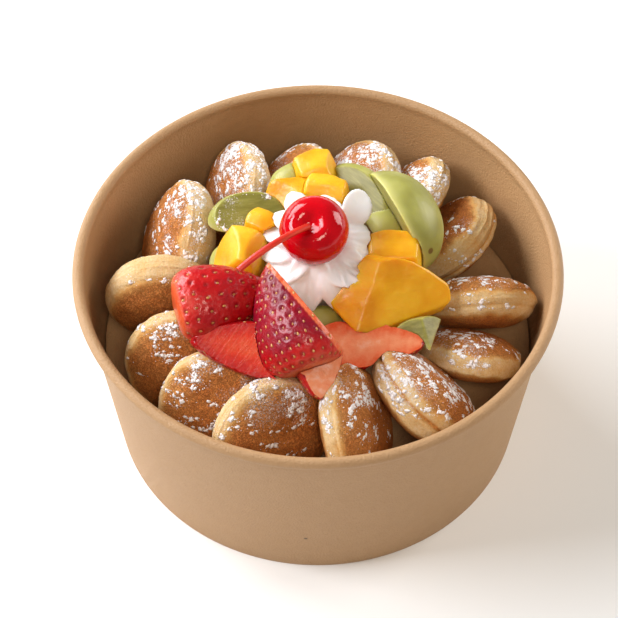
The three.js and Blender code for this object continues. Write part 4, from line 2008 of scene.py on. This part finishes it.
@dataclass
class PowderedSugar:
    """Sugar shaken over the pancakes: ragged clots of grains, and finer grains round them."""

    clots: int = 2100
    clot_grains: int = 9800
    grains: int = 9800
    clot_size: tuple[float, float] = (0.3, 1.1)
    clot_crowd: float = 17.0  # grains to a square millimetre of a clot
    clot_grain: tuple[float, float] = (0.24, 0.56)
    near_grain: tuple[float, float] = (0.08, 0.22)
    free_grain: tuple[float, float] = (0.06, 0.2)
    kinds: int = 7
    hold: float = 1.5  # how far from a surface a grain may start and still fall on it

    def sky(self, nodes: dict[str, bpy.types.Object]) -> BVHTree:
        """The solids of the contents, to find what lies open to the sky.

        Args:
            nodes: The CAD nodes by name.

        Returns:
            Their surfaces.
        """
        points, faces = [], []
        for name, node in nodes.items():
            if name.startswith("bowl"):
                continue
            first = len(points)
            points += [vertex.co * 1000 for vertex in node.data.vertices]
            faces += [[first + corner for corner in face.vertices] for face in node.data.polygons]
        return BVHTree.FromPolygons(points, faces)

    @staticmethod
    def surface(forms: list[Form]) -> tuple[np.ndarray, np.ndarray, np.ndarray]:
        """The triangles that sugar fell on.

        Args:
            forms: The pieces, with their mark for the sugar.

        Returns:
            The corners of each triangle, how much sugar is on it, and which form it is of.
        """
        corners, weights, owners = [], [], []
        for number, form in enumerate(forms):
            form.mesh.calc_loop_triangles()
            index = np.empty(3 * len(form.mesh.loop_triangles), dtype=np.int32)
            form.mesh.loop_triangles.foreach_get("vertices", index)
            index = index.reshape(-1, 3)
            triangle = form.placed[index]
            sides = triangle[:, 1:] - triangle[:, :1]
            area = np.linalg.norm(np.cross(sides[:, 0], sides[:, 1]), axis=1)
            corners.append(triangle)
            weights.append(area * form.marks["sugar"][index].mean(axis=1) ** 1.5)
            owners.append(np.full(len(index), number))
        return np.concatenate(corners), np.concatenate(weights), np.concatenate(owners)

    def build(self, forms: list[Form], nodes: dict[str, bpy.types.Object]) -> None:
        """Scatters the sugar over the forms that it fell on.

        Args:
            forms: The pieces, with their mark for the sugar.
            nodes: The CAD nodes by name.
        """
        sky = self.sky(nodes)
        corner, weight, owner = self.surface(forms)
        dice = np.random.default_rng(11)
        chance = random.Random(13)
        picks = dice.choice(len(corner), size=self.clots * 6, p=weight / weight.sum())
        shares = dice.dirichlet((1, 1, 1), size=len(picks))
        places = (corner[picks] * shares[:, :, None]).sum(axis=1)
        clump = clouds(places, 2.4, 91) + 0.4 * clouds(places, 7.0, 92)
        trees = [forms[number].tree for number in owner[picks]]
        thick = [spot for spot, level in zip(zip(places, trees), clump) if level > 0.0]
        thin = [spot for spot, level in zip(zip(places, trees), clump) if level <= 0.0]
        material = SugarFinish().material()
        lumps, dust = Scatter("sugar_clots", material), Scatter("sugar_grains", material)
        patterns = grain_patterns(self.kinds, 1, chance)
        for place, tree in thick[: self.clots]:
            size = self.clot_size[0] + (self.clot_size[1] - self.clot_size[0]) * chance.random() ** 2.2
            count = max(3, round(self.clot_crowd * size * size * chance.uniform(0.7, 1.3)))
            angle, slim = chance.uniform(0, math.pi), chance.uniform(0.4, 0.9)
            for number in range(2 * count + 4):
                clotted = number < count
                into, spread = (lumps, size * 0.5) if clotted else (dust, size + 1.2)
                a, b = chance.gauss(0, spread), chance.gauss(0, spread * slim)
                aside = (a * math.cos(angle) - b * math.sin(angle), a * math.sin(angle) + b * math.cos(angle), 0)
                grain = chance.uniform(*(self.clot_grain if clotted else self.near_grain))
                self.settle(into, Vector(place) + Vector(aside), grain, tree, sky, patterns, chance)
        for place, tree in thin:
            self.settle(dust, Vector(place), chance.uniform(*self.free_grain), tree, sky, patterns, chance)
        lumps.finish()
        dust.finish()

    def settle(
        self,
        into: Scatter,
        place: Vector,
        size: float,
        tree: BVHTree,
        sky: BVHTree,
        patterns: list[bpy.types.Mesh],
        chance: random.Random,
    ) -> None:
        """Lays one grain on the surface near a place, if that is open to the sky and the piece has room.

        Args:
            into: What the grain is added to.
            place: Where it starts from.
            size: Its size in millimetres.
            tree: The surface that it falls on.
            sky: The solids of the contents.
            patterns: The shapes of grains.
            chance: Where the random draws come from.
        """
        if into.count >= (self.clot_grains if into.name == "sugar_clots" else self.grains):
            return
        at, up, _, away = tree.find_nearest(place)
        if away > self.hold or up.z < 0.02 or sky.ray_cast(at + up * 1.2, Vector((0, 0, 1)), 60)[0] is not None:
            return
        spread = (size * chance.uniform(0.9, 1.7), size, size * chance.uniform(0.14, 0.3))
        along = Vector((chance.gauss(0, 1), chance.gauss(0, 1), chance.gauss(0, 0.4)))
        into.add(chance.choice(patterns), facing_matrix(at + up * size * 0.12, up, along, spread))


# ---------------------------------------------------------------- the stage
def pointed(piece: bpy.types.Object, at: Triple, aim: Triple) -> None:
    """Puts a lamp or a camera at a place and points it at another."""
    piece.location = at
    piece.rotation_euler = (Vector(aim) - Vector(at)).to_track_quat("-Z", "Y").to_euler()


@dataclass(frozen=True)
class Lamp:
    """A square soft light that points at the bowl. Lengths are in metres and its power in watts."""

    name: str
    at: Triple
    size: float
    power: float
    colour: str
    aim: Triple = (0, 0, 0.06)

    def build(self) -> None:
        """Hangs the lamp."""
        light = bpy.data.lights.new(self.name, "AREA")
        light.size, light.energy = self.size, self.power
        light.color = tint(self.colour)[:3]
        pointed(linked(self.name, light), self.at, self.aim)


@dataclass(frozen=True)
class Studio:
    """A pale floor, soft lights with the strongest at the back and the left, and the camera, in metres."""

    camera_at: Triple = (-0.00272, -0.3865, 0.5435)
    looks_at: Triple = (-0.00272, 0.0, 0.04654)
    lens: float = 116.5
    floor_size: float = 4.0
    floor_tint: str = "f8f8f6"
    sky: float = 0.15
    lamps: tuple[Lamp, ...] = (
        Lamp("key_back", (-0.71, 0.64, 0.58), 0.7, 13.6, "fafbff"),
        Lamp("key_left", (-0.88, -0.05, 0.78), 0.5, 11.4, "f5f8ff"),
        Lamp("rim", (0.94, 0.44, 0.41), 0.6, 7.4, "fffdfa"),
        Lamp("front", (0.1, -0.66, 0.92), 0.3, 3.8, "ffefdc"),
    )

    def floor(self) -> None:
        """A wide plain floor."""
        bm = bmesh.new()
        bmesh.ops.create_grid(bm, x_segments=2, y_segments=2, size=self.floor_size)
        mesh = written(bm, "floor")
        material = bpy.data.materials.new("pale_floor")
        material.use_nodes = True
        shader = next(n for n in material.node_tree.nodes if n.type == "BSDF_PRINCIPLED")
        shader.inputs["Base Color"].default_value = tint(self.floor_tint)
        shader.inputs["Roughness"].default_value = 0.9
        mesh.materials.append(material)
        linked("floor", mesh)

    def camera(self) -> None:
        """The camera."""
        data = bpy.data.cameras.new("camera")
        data.lens, data.sensor_width = self.lens, 36.0
        data.clip_start, data.clip_end = 0.01, 20.0
        piece = linked("camera", data)
        pointed(piece, self.camera_at, self.looks_at)
        bpy.context.scene.camera = piece

    def build(self) -> None:
        """Sets the stage."""
        scene = bpy.context.scene
        scene.view_settings.view_transform = "Standard"
        world = bpy.data.worlds.new("world")
        world.use_nodes = True
        sky = next(n for n in world.node_tree.nodes if n.type == "BACKGROUND")
        sky.inputs["Color"].default_value = (1.0, 1.0, 1.0, 1.0)
        sky.inputs["Strength"].default_value = self.sky
        scene.world = world
        self.floor()
        for lamp in self.lamps:
            lamp.build()
        self.camera()


# ---------------------------------------------------------------- everything
def main() -> None:
    """Builds every piece in order, from the bowl up to the sugar."""
    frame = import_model()
    others = Neighbours()
    PaperBowl().build(others)
    crust = CrustFinish().material()
    dusted = [pancake.build(index, others, crust) for index, pancake in enumerate(PANCAKES)]
    cherry = Cherry()
    cherry.build_fruit(others)
    cherry.build_stem(others)
    flesh = BerryFinish().material()
    seeds = [spot for berry in TOP_BERRIES for spot in berry.build(others, flesh)]
    WhippedCream().build(others)
    mango = MangoFinish().material()
    for chunk in CHUNKS:
        chunk.build(others, mango)
    seeds += [spot for berry in LOW_BERRIES for spot in berry.build(others, flesh)]
    grape = GrapeFinish().material()
    dusted += [one.build(others, grape) for one in GRAPES]
    StrawberrySeeds().build(seeds)
    PowderedSugar().build(dusted, frame["nodes"])
    Studio().build()


if __name__ == "__main__":
    logging.basicConfig(level=logging.INFO, format="%(name)s: %(message)s")
    main()
